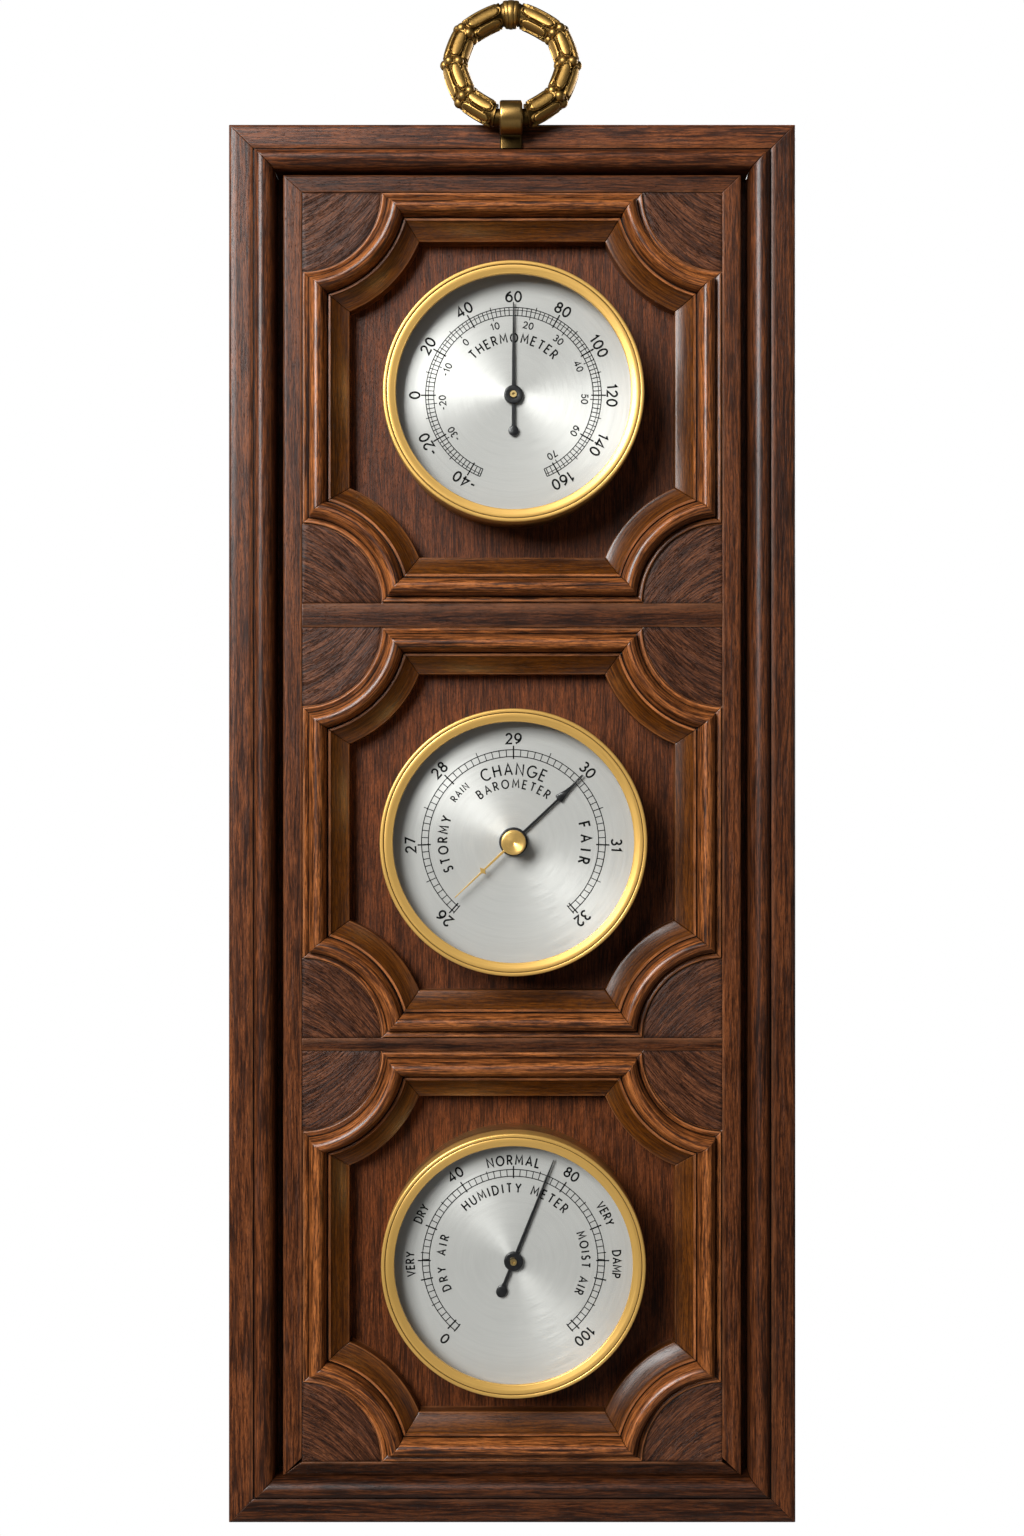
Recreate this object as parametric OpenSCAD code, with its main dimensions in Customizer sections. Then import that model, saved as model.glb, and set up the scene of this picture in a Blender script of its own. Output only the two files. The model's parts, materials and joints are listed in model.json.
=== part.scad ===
// Wall weather station: a framed and panelled board with a thermometer, a barometer and a humidity meter.
// Each piece is drawn on the flat, with x to the right, y up the board and z out from the wall,
// and stand() then turns it upright. The origin is the keyhole in the back of the top rail.

/* [Board] */
// Width of the board over its outer frame
board_w = 210; // [200:1:220]
// Height of the board over its outer frame
board_h = 518; // [514:1:524]
// Height of the board's top edge above the keyhole
top_edge = 11; // [10.5:0.1:12]
// Width of an outer frame member
rail_w = 17; // [16.5:0.1:18]
// Height of the flat outer band above the wall
band_h = 22; // [21:0.5:24]
// Width of the flat outer band
band_w = 9.6; // [9:0.1:10]
// Height of the outer bead's crest above the wall
bead_h = 25; // [24.5:0.1:26]
// Height of the inner field above the wall
field_h = 20; // [19:0.5:21]
// Thickness of the back panel
panel_t = 4; // [3:0.5:5]
// Height of the back panel's front face above the wall
panel_front = 10; // [9:0.5:11]
// Depth of the panel's edge under the outer frame
rabbet_w = 4; // [3:0.5:5]
// Radius of the access hole behind each gauge
access_r = 20; // [18:1:22]

/* [Inner field] */
// Half width of the inner field
field_x = 85; // [84:0.5:86]
// Distance from the board's top edge to the inner field
field_top_gap = 18.3; // [17.5:0.1:19]
// Distance from the board's bottom edge to the inner field
field_bottom_gap = 17.1; // [17.1:0.1:18]

/* [Cells] */
// Half width of a panelled cell
cell_x = 78; // [77:0.5:79]
// Height of a panelled cell
cell_h = 152.5; // [152:0.1:153]
// Heights of the three cell centres, from the keyhole
cell_z = [-90.1, -251.4, -408.6];
// Width of the panel moulding
mould_w = 16.8; // [16.6:0.1:17.6]
// Height of the panel moulding's bead above the wall
mould_h = 26; // [25:0.5:27]
// Radius of the scooped corner at the moulding's outer line
scoop_r = 29.3; // [28:0.1:31]

/* [Gauges] */
// Sideways place of the gauges
gauge_x = 0.5; // [0:0.1:1]
// Heights of the thermometer, barometer and humidity meter, from the keyhole
gauge_z = [-90.4, -254.5, -408.5];
// Outer radii of the three bezels
bezel_r = [47.6, 48.7, 48.2];
// Height of a bezel's front above the panel
bezel_front = 24.5; // [24:0.1:25.5]
// Width of a bezel's ring
bezel_w = 4.8; // [4.5:0.1:5.2]
// Height of a dial's front face above the panel
dial_front = 16.2; // [16:0.1:16.5]
// Thickness of the glass
lens_t = 2; // [1.5:0.1:2]
// Pointer angle of the barometer, clockwise from the top
barometer_angle = 46.5; // [0:0.5:90]
// Set hand angle, clockwise from the top
set_angle = 226.5; // [180:0.5:270]
// Pointer angle of the humidity meter, clockwise from the top
humidity_angle = 21.7; // [-60:0.1:60]

/* [Barometer movement] */
// Module of the sector and pinion teeth
tooth_m = 0.25; // [0.25:0.05:0.25]
// Teeth on the pinion
pinion_teeth = 10; // [10:1:10]
// Teeth on the sector's full circle
sector_teeth = 100; // [100:1:100]
// Centre of the aneroid capsule from the dial's centre
capsule_at = [-9, 13];
// Radius of the aneroid capsule
capsule_r = 12; // [11:0.5:12]

/* [Hanger] */
// Sideways place of the hanging ring
ring_x = -0.4; // [-1:0.1:1]
// Radius of the hanging ring's centreline
ring_r = 21.2; // [20:0.1:22]
// Radius of the hanging ring's body
ring_body_r = 4.8; // [4.5:0.1:5]
// Angle by which the ring leans back
ring_lean = 11.5; // [0:0.5:30]
// Width of the strap
strap_w = 8.3; // [8:0.1:9]
// Radius of the keyhole's round end
keyhole_r = 4; // [3.5:0.1:4]
// Radius of the keyhole's slot
keyhole_slot_r = 2; // [1.8:0.1:2.2]

/* [Hidden] */

THERMO = 0;
BARO = 1;
HYGRO = 2;

// Smoothness of round pieces
$fn = 96;
fine_fn = 48;
// Clearance of a shaft in its hole
running = 0.05;

walnut = "saddlebrown";
dark_walnut = "#4a2c1a";
brass = "#c9a24a";
old_brass = "#8c6a2f";
silver = "#cfd2d4";
steel = "#9aa0a6";
black = "#151515";

bottom_edge = top_edge - board_h;
middle = top_edge - board_h / 2;
panel_back = panel_front - panel_t;
panel_x = board_w / 2 - rail_w + rabbet_w;
panel_top = top_edge - rail_w;
panel_bottom = bottom_edge + rail_w - rabbet_w;
field_top = top_edge - field_top_gap;
field_bottom = bottom_edge + field_bottom_gap;
cell_top = [for (c = cell_z) c + cell_h / 2];
cell_bottom = [for (c = cell_z) c - cell_h / 2];

// Corner easing of the outer band, and the fine line beside it
edge_ease = 1.5;
line_d = 0.5;
line_w = 0.4;
bead_t = 12.8;

// How far a cutting shape reaches past what it cuts
over = 1;

case_wall = 0.9;
case_fit = 0.7;
case_h = 20.2;
dial_t = 0.8;
dial_ledge = 1.6;
dial_ledge_t = 0.8;
lens_back = 20.6;
bezel_skirt_h = 16;
bezel_lip_r = 0.7;
bezel_shelf_w = 2.2;
screw_circle_r = 38;
boss_r = 2.5;
boss_h = 3;
case_screw_r = 1.5;
case_head_r = 2.6;
case_head_t = 1.6;
vent_r = 1.8;
vent_circle_r = 14;
arbor_r = 0.6;
arbor_cap_r = 1.2;
pointer_back = 16.6;
pointer_h = 17;
pointer_t = 0.6;
pointer_top = 18.2;
slot_w = 0.8;

// Bridge behind the dial of the thermometer and of the humidity meter
bridge_w = 8;
bridge_t = 1;
bridge_h = 10.9;
bridge_post_x = 13;
bridge_post_r = 2;
small_screw_r = 1;
small_head_r = 1.8;
small_head_t = 1;
small_shank = 2.4;
small_slot_w = 0.5;
stud_r = 3;
stud_collar_r = 4.2;
adjuster_gap = 0.1;
arm_w = 2.4;
arm_t = 1;
coil_turns = 5;
coil_in_r = 1.4;
coil_out_r = 9.4;
coil_strip = 0.4;
coil_low = 4;
coil_tall = 5;

// Set hand and its knob, with heights above the panel
set_hand_h = 19.3;
set_hand_t = 0.7;
stem_r = 1.6;
knob_r = 4.5;
knob_t = 3.6;
dimple_r = 2.2;
dimple_d = 0.7;

// Barometer movement, with heights above the panel
base_t = 1.5;
base_r = 34;
base_top = case_wall + base_t;
sector_at = tooth_m * (pinion_teeth + sector_teeth) / 2;
gear_h = 10.5;
gear_t = 1;
baro_bridge_h = 12;
pillar_r = 2.2;
pillar_at = [[-9, -3.5], [30, -1.5]];
plate_screw_at = [[-26, -12], [0, -29], [24, 19]];
shaft_r = 0.8;
shaft_y = -1.85;
shaft_h = 4.2;
shaft_ends = [5, 25];
bracket_x = [6, 24];
tail_reach = 5;
rod_r = 0.5;
short_arm_x = 9;
bracket_t = 1;
capsule_low = 3.4;
capsule_t = 3.8;
ridge = 0.4;
seat_r = 2.5;
stud_screw_r = 1.5;
adjusting_head_r = 2.8;
spring_h = 9.3;
spring_t = 0.8;
spring_w = 8;
heel_x = -26;
lever_h = 5;
lever_t = 1;

keyhole_slot = 6.5;
plate_w = 34;
plate_h = 15;
plate_t = 1.5;
plate_bottom = -5;
pocket_d = 6;
pocket_r = 5.5;
plate_screw_x = 13.2;
wood_screw_r = 1.2;
wood_head_r = 2.2;
wood_head_t = 1;
wood_screw_l = 9;
wood_tip_l = 2;

pivot_h = 28.2;
loop_r = 6.2;
collar_r = 4.9;
neck_r = 3.6;
neck_x = 6.3;
tail_low = 1.4;
tail_gap = 2;
strap_t = 2.2;
spike_r = 0.8;
spike_x = 2.2;
spike_y = 3.6;
spike_l = 7;

module stand() rotate([90, 0, 0]) children();

// Moves a piece to a gauge's centre, on the front of the back panel
module at_gauge(i) {
    stand() translate([gauge_x, gauge_z[i], panel_front]) children();
}

// Points along an elliptical arc
function arc_points(centre, rx, ry, from, to, steps) =
    [for (i = [0:steps])
        let (a = from + (to - from) * i / steps)
        [centre[0] + rx * cos(a), centre[1] + ry * sin(a)]];

// A ring or disc lying flat between two heights
module disc(r, low, high, hole = 0) {
    translate([0, 0, low]) difference() {
        cylinder(r = r, h = high - low);
        if (hole > 0) translate([0, 0, -over]) cylinder(r = hole, h = high - low + 2 * over);
    }
}

// Turns a hand clockwise from the top
module clockwise(angle) rotate([0, 0, -angle]) children();

// Outer frame

// Section of an outer member, as [distance in from the edge, height above the wall]
rail_profile = concat(
    [[0, 0]],
    arc_points([edge_ease, band_h - edge_ease], edge_ease, edge_ease, 180, 90, 4),
    [[band_w - line_w, band_h], [band_w - line_w, band_h - line_d], [band_w, band_h - line_d]],
    arc_points([bead_t, band_h - line_d], bead_t - band_w - 0.1, bead_h - band_h + line_d, 180, 90, 6),
    arc_points([bead_t, field_h + 0.5], rail_w - bead_t, bead_h - field_h - 0.5, 80, 0, 8),
    [[rail_w, 0]]
);

// A bar of one section, along x, with its outer edge at y = 0 and its inner side towards -y
module moulded_bar(profile, length) {
    rotate([90, 0, 90]) translate([0, 0, -length / 2])
        linear_extrude(length) polygon([for (p = profile) [-p[0], p[1]]]);
}

// Plan of a member that is mitred at both ends
module mitred_plan(length, width, tall) {
    linear_extrude(tall) polygon([
        [-length / 2, 0],
        [length / 2, 0],
        [length / 2 - width, -width],
        [-length / 2 + width, -width]
    ]);
}

module outer_member(length) {
    intersection() {
        moulded_bar(rail_profile, length);
        translate([0, 0, -over]) mitred_plan(length, rail_w, bead_h + 2 * over);
    }
}

// Room for the back panel, open to the wall
module panel_space() {
    translate([-panel_x, panel_bottom, -over])
        cube([2 * panel_x, panel_top - panel_bottom, panel_front + over]);
}

module strap_spikes() {
    for (side = [-1, 1])
        translate([ring_x + side * spike_x, spike_y, band_h - spike_l])
            cylinder(r = spike_r, h = spike_l + 0.5, $fn = fine_fn);
}

module keyhole_outline(grow = 0) {
    circle(r = keyhole_r + grow, $fn = fine_fn);
    translate([0, keyhole_slot / 2])
        square([2 * (keyhole_slot_r + grow), keyhole_slot], center = true);
    translate([0, keyhole_slot]) circle(r = keyhole_slot_r + grow, $fn = fine_fn);
}

module outer_rail_top() color(walnut) stand() difference() {
    translate([0, top_edge, 0]) outer_member(board_w);
    translate([-plate_w / 2, plate_bottom, -over]) cube([plate_w, plate_h, plate_t + over]);
    linear_extrude(pocket_d) keyhole_outline(pocket_r - keyhole_r);
    for (side = [-1, 1])
        translate([side * plate_screw_x, 0, 0])
            cylinder(r = wood_screw_r, h = wood_screw_l + wood_tip_l, $fn = fine_fn);
    strap_spikes();
}

module outer_rail_bottom() color(walnut) stand() difference() {
    translate([0, bottom_edge, 0]) rotate([0, 0, 180]) outer_member(board_w);
    panel_space();
}

module outer_stile(side) {
    stand() difference() {
        translate([side * board_w / 2, middle, 0]) rotate([0, 0, -side * 90]) outer_member(board_h);
        panel_space();
    }
}

module outer_stile_left() color(walnut) outer_stile(-1);

module outer_stile_right() color(walnut) outer_stile(1);

// Back panel, with a hole behind each gauge and three screw holes around it

module screw_ring() {
    for (a = [90, 210, 330]) rotate([0, 0, a]) translate([screw_circle_r, 0, 0]) children();
}

module back_panel() color(dark_walnut) stand() difference() {
    translate([-panel_x, panel_bottom, panel_back])
        cube([2 * panel_x, panel_top - panel_bottom, panel_t]);
    for (z = gauge_z) translate([gauge_x, z, 0]) {
        cylinder(r = access_r, h = board_w);
        screw_ring() cylinder(r = case_screw_r, h = board_w, $fn = fine_fn);
    }
}

// Inner field

module field_strip(points) {
    stand() translate([0, 0, panel_front]) linear_extrude(field_h - panel_front) polygon(points);
}

module field_stile(side) {
    field_strip([
        [side * field_x, field_top],
        [side * cell_x, cell_top[THERMO]],
        [side * cell_x, cell_bottom[HYGRO]],
        [side * field_x, field_bottom]
    ]);
}

module field_end(outer, inner) {
    field_strip([[-field_x, outer], [field_x, outer], [cell_x, inner], [-cell_x, inner]]);
}

module cross_rail(top, bottom) {
    field_strip([[-cell_x, top], [cell_x, top], [cell_x, bottom], [-cell_x, bottom]]);
}

module field_stile_left() color(walnut) field_stile(-1);

module field_stile_right() color(walnut) field_stile(1);

module field_rail_top() color(walnut) field_end(field_top, cell_top[THERMO]);

module cross_rail_upper() color(walnut) cross_rail(cell_bottom[THERMO], cell_top[BARO]);

module cross_rail_lower() color(walnut) cross_rail(cell_bottom[BARO], cell_top[HYGRO]);

module field_rail_bottom() color(walnut) field_end(field_bottom, cell_bottom[HYGRO]);

// Panel moulding of a cell: four straight runs and four scooped corners, mitred together

quirk_h = field_h - 0.5;
fillet_h = field_h + 0.8;
bead_mid = 6.2;
bead_from = 2.7;
bead_foot = field_h + 0.2;
slope_top = field_h + 0.4;
slope_foot = field_h - 3.6;
slope_from = 11;
slope_to = 16.4;
slope_hollow = 0.4;

// Height of the hollowed slope at a distance in from the outer line
function slope_h(t) =
    let (k = (t - slope_from) / (slope_to - slope_from))
    slope_top + (slope_foot - slope_top) * k - slope_hollow * sin(180 * k);

// Section of the moulding, as [distance in from the cell's outer line, height above the wall]
mould_profile = concat(
    [[0, panel_front], [0, quirk_h], [0.5, quirk_h], [0.6, fillet_h], [1.4, fillet_h], [2.5, bead_foot]],
    arc_points([bead_mid, bead_foot], bead_mid - bead_from, mould_h - bead_foot, 180, 90, 8),
    arc_points([bead_mid, bead_foot + 0.6], 3.1, mould_h - bead_foot - 0.6, 80, 0, 8),
    [[9.4, bead_foot], [9.8, bead_foot], [9.9, field_h + 0.9], [10.8, field_h + 0.9]],
    [for (t = [slope_from:0.9:slope_to]) [t, slope_h(t)]],
    [[mould_w, slope_foot - 0.4], [mould_w, panel_front]]
);

mitre_steps = 4;

// Distance from the cell's corner at which a straight run at offset t meets the scoop
function mitre_x(t) = sqrt(scoop_r * scoop_r + 2 * scoop_r * t);

mitre_curve = [for (i = [0:mitre_steps]) let (t = mould_w * i / mitre_steps) [mitre_x(t), t]];

function reversed(list) = [for (i = [len(list) - 1:-1:0]) list[i]];

// A straight run with its outer line at y = 0, along a side of the cell of the given half length
module straight_run(half) {
    plan_right = [for (p = mitre_curve) [half - p[0], -p[1]]];
    plan_left = [for (p = reversed(mitre_curve)) [p[0] - half, -p[1]]];
    intersection() {
        moulded_bar(mould_profile, 2 * half);
        translate([0, 0, -over]) linear_extrude(mould_h + 2 * over)
            polygon(concat(plan_right, plan_left));
    }
}

// A scooped corner around the origin, for the quarter where x and y are positive
module scooped_corner() {
    far = 2 * scoop_r;
    other_side = [for (p = reversed(mitre_curve)) [p[1], p[0]]];
    intersection() {
        rotate_extrude() polygon([for (p = mould_profile) [scoop_r + p[0], p[1]]]);
        translate([0, 0, -over]) linear_extrude(mould_h + 2 * over)
            polygon(concat([[0, 0]], mitre_curve, [[far, far]], other_side));
    }
}

// Puts a piece for one corner at all four corners of a cell, facing its middle
module at_corners(i) {
    for (sx = [0, 1]) for (sy = [0, 1])
        stand() translate([0, cell_z[i], 0])
            mirror([sx, 0, 0]) mirror([0, sy, 0])
                translate([-cell_x, -cell_h / 2, 0]) children();
}

module straight_moulding(i) {
    for (turn = [0, 180])
        stand() translate([0, cell_z[i], 0]) rotate([0, 0, turn]) {
            translate([0, cell_h / 2, 0]) straight_run(cell_x);
            rotate([0, 0, 90]) translate([0, cell_x, 0]) straight_run(cell_h / 2);
        }
}

module scooped_moulding(i) at_corners(i) scooped_corner();

module thermometer_straight_moulding() color(walnut) straight_moulding(THERMO);

module thermometer_scooped_moulding() color(walnut) scooped_moulding(THERMO);

module barometer_straight_moulding() color(walnut) straight_moulding(BARO);

module barometer_scooped_moulding() color(walnut) scooped_moulding(BARO);

module hygrometer_straight_moulding() color(walnut) straight_moulding(HYGRO);

module hygrometer_scooped_moulding() color(walnut) scooped_moulding(HYGRO);

// Flat infills between the scooped corners and the field, four to a cell
module corner_spandrels() color(dark_walnut) for (i = [THERMO, BARO, HYGRO])
    at_corners(i) translate([0, 0, panel_front]) intersection() {
        cylinder(r = scoop_r, h = field_h - panel_front - 0.2);
        cube(scoop_r);
    }

// Hanger: keyhole plate in the back, and the ring in its strap on top

module keyhole_plate() color(steel) stand() difference() {
    translate([-plate_w / 2, plate_bottom, 0]) cube([plate_w, plate_h, plate_t]);
    translate([0, 0, -over]) linear_extrude(plate_t + 2 * over) keyhole_outline();
    for (side = [-1, 1]) translate([side * plate_screw_x, 0, 0]) {
        translate([0, 0, -over]) cylinder(r = wood_screw_r, h = plate_t + 2 * over, $fn = fine_fn);
        cylinder(r1 = wood_head_r, r2 = wood_screw_r, h = wood_head_t, $fn = fine_fn);
    }
}

module keyhole_screws() color(brass) stand() for (side = [-1, 1])
    translate([side * plate_screw_x, 0, 0]) difference() {
        union() {
            cylinder(r1 = wood_head_r, r2 = wood_screw_r, h = wood_head_t, $fn = fine_fn);
            translate([0, 0, wood_head_t / 2])
                cylinder(r = wood_screw_r, h = wood_screw_l - wood_head_t / 2, $fn = fine_fn);
            translate([0, 0, wood_screw_l])
                cylinder(r1 = wood_screw_r, r2 = 0.2, h = wood_tip_l, $fn = fine_fn);
        }
        translate([-wood_head_r, -small_slot_w / 2, -over])
            cube([2 * wood_head_r, small_slot_w, over + 0.5]);
    }

module hanger_strap() color(old_brass) stand() {
    difference() {
        union() {
            translate([ring_x - strap_w / 2, top_edge, pivot_h]) rotate([0, 90, 0])
                cylinder(r = loop_r, h = strap_w);
            translate([ring_x - strap_w / 2, tail_low, band_h])
                cube([strap_w, top_edge - tail_gap - tail_low, strap_t]);
        }
        translate([ring_x - strap_w, top_edge, pivot_h]) rotate([0, 90, 0])
            cylinder(r = collar_r + running, h = 2 * strap_w);
    }
    strap_spikes();
}

knot_angles = [0, 53.6, 90, 128.4, 231.6, 270, 306.4];
knot_span = 8;
knot_rise = 0.6;
collar_play = 0.2;
open_angle = 17;

// A stretch of the ring, centred at an angle clockwise from its top
module ring_arc(middle_angle, span, r) {
    rotate([0, 0, 90 - middle_angle - span / 2])
        rotate_extrude(angle = span) translate([ring_r, 0]) circle(r = r, $fn = fine_fn);
}

// The ring stands on its pivot, where a round collar joins its open ends
module hanger_ring() color(old_brass) stand()
    translate([ring_x, top_edge, pivot_h]) rotate([-ring_lean, 0, 0]) {
        translate([0, ring_r, 0]) {
            ring_arc(0, 360 - 2 * open_angle, ring_body_r);
            for (a = knot_angles) ring_arc(a, knot_span, ring_body_r + knot_rise);
        }
        rotate([0, 90, 0]) translate([0, 0, -neck_x - 1]) cylinder(r = neck_r, h = 2 * neck_x + 2);
        rotate([0, 90, 0]) translate([0, 0, collar_play - strap_w / 2])
            cylinder(r = collar_r, h = strap_w - 2 * collar_play);
    }

// Pieces that the three gauges share

module case_screws() color(steel) for (z = gauge_z)
    stand() translate([gauge_x, z, 0]) screw_ring() difference() {
        union() {
            translate([0, 0, panel_back - case_head_t])
                cylinder(r = case_head_r, h = case_head_t, $fn = fine_fn);
            translate([0, 0, panel_back - 1])
                cylinder(r = case_screw_r, h = panel_t + boss_h + 0.5, $fn = fine_fn);
        }
        translate([-boss_h, -slot_w / 2, panel_back - 2]) cube([2 * boss_h, slot_w, 1]);
    }

// Drawn cup with a seat for the dial, tapped bosses for its screws and vents in its back
module case_shell(i, back_holes) {
    r = bezel_r[i] - case_fit;
    inner = r - case_wall;
    seat = dial_front - dial_t;
    at_gauge(i) difference() {
        union() {
            rotate_extrude() polygon([
                [0, 0], [r, 0], [r, case_h], [inner, case_h],
                [inner, seat], [inner - dial_ledge, seat],
                [inner - dial_ledge, seat - dial_ledge_t], [inner, seat - dial_ledge_t],
                [inner, case_wall], [0, case_wall]
            ]);
            screw_ring() translate([0, 0, 0.5]) cylinder(r = boss_r, h = boss_h, $fn = fine_fn);
        }
        screw_ring() translate([0, 0, -over]) cylinder(r = case_screw_r, h = boss_h + 0.5, $fn = fine_fn);
        for (a = [15:30:345]) rotate([0, 0, a]) translate([vent_circle_r, 0, -over])
            cylinder(r = vent_r, h = case_wall + 2 * over, $fn = fine_fn);
        for (hole = back_holes) translate([hole[0], hole[1], -over])
            cylinder(r = hole[2], h = case_wall + 2 * over, $fn = fine_fn);
    }
}

// Ring over the case's rim, with a channel that holds the glass
module bezel_ring(i) {
    r = bezel_r[i];
    lens_front = lens_back + lens_t;
    at_gauge(i) rotate_extrude() polygon(concat(
        [[r - case_fit, bezel_skirt_h], [r, bezel_skirt_h]],
        arc_points([r - bezel_lip_r, bezel_front - 0.8], bezel_lip_r, 0.8, 0, 180, 6),
        [
            [r - 1.5, bezel_front - 0.6],
            [r - 1.7, bezel_front - 0.1],
            [r - bezel_w + 0.3, bezel_front - 1.2],
            [r - bezel_w, bezel_front - 1.5],
            [r - bezel_w, lens_front],
            [r - case_fit, lens_front],
            [r - case_fit, lens_back],
            [r - bezel_shelf_w, lens_back],
            [r - bezel_shelf_w, case_h],
            [r - case_fit, case_h]
        ]
    ));
}

module lens_disc(i, hole) {
    at_gauge(i) disc(bezel_r[i] - case_fit, lens_back, lens_back + lens_t, hole);
}

module dial_plate(i, hole) {
    at_gauge(i) disc(bezel_r[i] - case_fit - case_wall, dial_front - dial_t, dial_front, hole);
}

// Strip behind the dial that carries the arbor's lower end on two posts
module rear_bridge(i) {
    at_gauge(i) difference() {
        union() {
            translate([-bridge_post_x - 3, -bridge_w / 2, bridge_h])
                cube([2 * bridge_post_x + 6, bridge_w, bridge_t]);
            for (side = [-1, 1]) translate([side * bridge_post_x, 0, bridge_h + 0.5])
                cylinder(r = bridge_post_r, h = dial_front - dial_t - bridge_h - 0.5, $fn = fine_fn);
        }
        translate([0, 0, bridge_h - over])
            cylinder(r = arbor_r + running, h = bridge_t + 2 * over, $fn = fine_fn);
        for (side = [-1, 1]) translate([side * bridge_post_x, 0, bridge_h - over])
            cylinder(r = small_screw_r, h = small_shank + over, $fn = fine_fn);
    }
}

// A small slotted screw that points up, with the underside of its head at the origin
module small_screw() {
    difference() {
        union() {
            translate([0, 0, -small_head_t]) cylinder(r = small_head_r, h = small_head_t, $fn = fine_fn);
            translate([0, 0, -0.5]) cylinder(r = small_screw_r, h = small_shank + 0.5, $fn = fine_fn);
        }
        translate([-small_head_r - over, -small_slot_w / 2, -small_head_t - 0.6])
            cube([2 * (small_head_r + over), small_slot_w, 1]);
    }
}

module bridge_screws() color(steel) for (i = [THERMO, HYGRO])
    at_gauge(i) for (side = [-1, 1]) translate([side * bridge_post_x, 0, bridge_h]) small_screw();

// Slotted stud through the case's back, with an arm whose post holds the coil's outer end
module adjuster(i) {
    post_at = coil_out_r + 1;
    at_gauge(i) difference() {
        union() {
            translate([0, 0, -0.6]) cylinder(r = stud_r, h = 2.4, $fn = fine_fn);
            translate([0, 0, case_wall + adjuster_gap])
                cylinder(r = stud_collar_r, h = arm_t, $fn = fine_fn);
            translate([0, -arm_w / 2, case_wall + adjuster_gap]) cube([post_at, arm_w, arm_t]);
            translate([post_at, 0, case_wall + adjuster_gap])
                cylinder(r = arm_w / 2, h = coil_low + coil_tall - case_wall, $fn = fine_fn);
        }
        translate([-stud_r - over, -slot_w / 2, -over - 0.6])
            cube([2 * (stud_r + over), slot_w, over + 0.7]);
    }
}

// A flat spiral strip, from its inner end to its outer end on the x axis
module spiral_strip(inner, outer, turns, strip, low, tall) {
    steps = 20 * turns;
    function side(shift) = [for (k = [0:steps])
        let (a = 360 * turns * k / steps, r = inner + (outer - inner) * k / steps + shift)
        [r * cos(a), r * sin(a)]];
    translate([0, 0, low]) linear_extrude(tall)
        polygon(concat(side(-strip / 2), reversed(side(strip / 2))));
}

module coil(i) {
    at_gauge(i) spiral_strip(coil_in_r, coil_out_r, coil_turns, coil_strip, coil_low, coil_tall);
}

// Shaft from below the coil up to the brass cap in the pointer's hub
module arbor(i) {
    at_gauge(i) difference() {
        union() {
            translate([0, 0, coil_low - 0.5])
                cylinder(r = arbor_r, h = pointer_top - coil_low, $fn = fine_fn);
            translate([0, 0, pointer_back]) cylinder(r = arbor_cap_r, h = 2.4, $fn = fine_fn);
        }
        translate([0, 0, pointer_top]) cylinder(r = 0.5, h = 2, $fn = fine_fn);
    }
}

// A pointer that points up: a narrow blade with a taper, a hub and a tail that ends in a ball
module plain_pointer(reach, tail, ball_r, hub_r) {
    half = 0.55;
    difference() {
        union() {
            translate([0, 0, pointer_h]) linear_extrude(pointer_t) {
                polygon([
                    [-half, 0], [-half, reach * 0.6], [-0.15, reach],
                    [0.15, reach], [half, reach * 0.6], [half, 0]
                ]);
                translate([-half, -tail]) square([2 * half, tail]);
                translate([0, -tail]) circle(r = ball_r, $fn = fine_fn);
            }
            disc(hub_r, pointer_back, pointer_top);
        }
        translate([0, 0, pointer_back - 1]) cylinder(r = arbor_cap_r, h = 4, $fn = fine_fn);
    }
}

// Thermometer

module thermometer_case() color(old_brass) case_shell(THERMO, [[0, 0, stud_r + running]]);

module thermometer_bezel() color(brass) bezel_ring(THERMO);

module thermometer_lens() color("white", 0.2) lens_disc(THERMO, 0);

module thermometer_dial() color(silver) dial_plate(THERMO, arbor_r + running);

module thermometer_bridge() color(brass) rear_bridge(THERMO);

module thermometer_adjuster() color(brass) adjuster(THERMO);

module bimetal_coil() color(steel) coil(THERMO);

module thermometer_arbor() color(brass) arbor(THERMO);

module thermometer_pointer() color(black) at_gauge(THERMO) 
    plain_pointer(reach = 34, tail = 13.2, ball_r = 1.9, hub_r = 3.5);

// Barometer

module barometer_case() color(old_brass)
    case_shell(BARO, concat(
        [[capsule_at[0], capsule_at[1], adjusting_head_r + 0.4]],
        [for (p = plate_screw_at) [p[0], p[1], small_screw_r]]
    ));

module barometer_bezel() color(brass) bezel_ring(BARO);

module barometer_lens() color("white", 0.2) lens_disc(BARO, stem_r + running);

module barometer_dial() color(silver) dial_plate(BARO, 2);

// Plate on the case's back, with two brackets for the rocking shaft
module barometer_base_plate() color(steel) at_gauge(BARO) difference() {
    union() {
        translate([0, 0, case_wall]) cylinder(r = base_r, h = base_t);
        for (x = bracket_x) translate([x - bracket_t / 2, shaft_y - 2, base_top - 0.5])
            cube([bracket_t, 4, shaft_h + 2 - base_top + 0.5]);
    }
    for (x = [0, sector_at]) translate([x, 0, 0])
        cylinder(r = arbor_r + running, h = base_top + 1, $fn = fine_fn);
    translate([capsule_at[0], capsule_at[1], 0])
        cylinder(r = stud_screw_r + running, h = base_top + over, $fn = fine_fn);
    for (p = plate_screw_at) translate([p[0], p[1], 0])
        cylinder(r = small_screw_r, h = base_top + 1, $fn = fine_fn);
    translate([bracket_x[0] - 2, shaft_y, shaft_h]) rotate([0, 90, 0])
        cylinder(r = shaft_r + running, h = bracket_x[1] - bracket_x[0] + 4, $fn = fine_fn);
}

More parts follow.
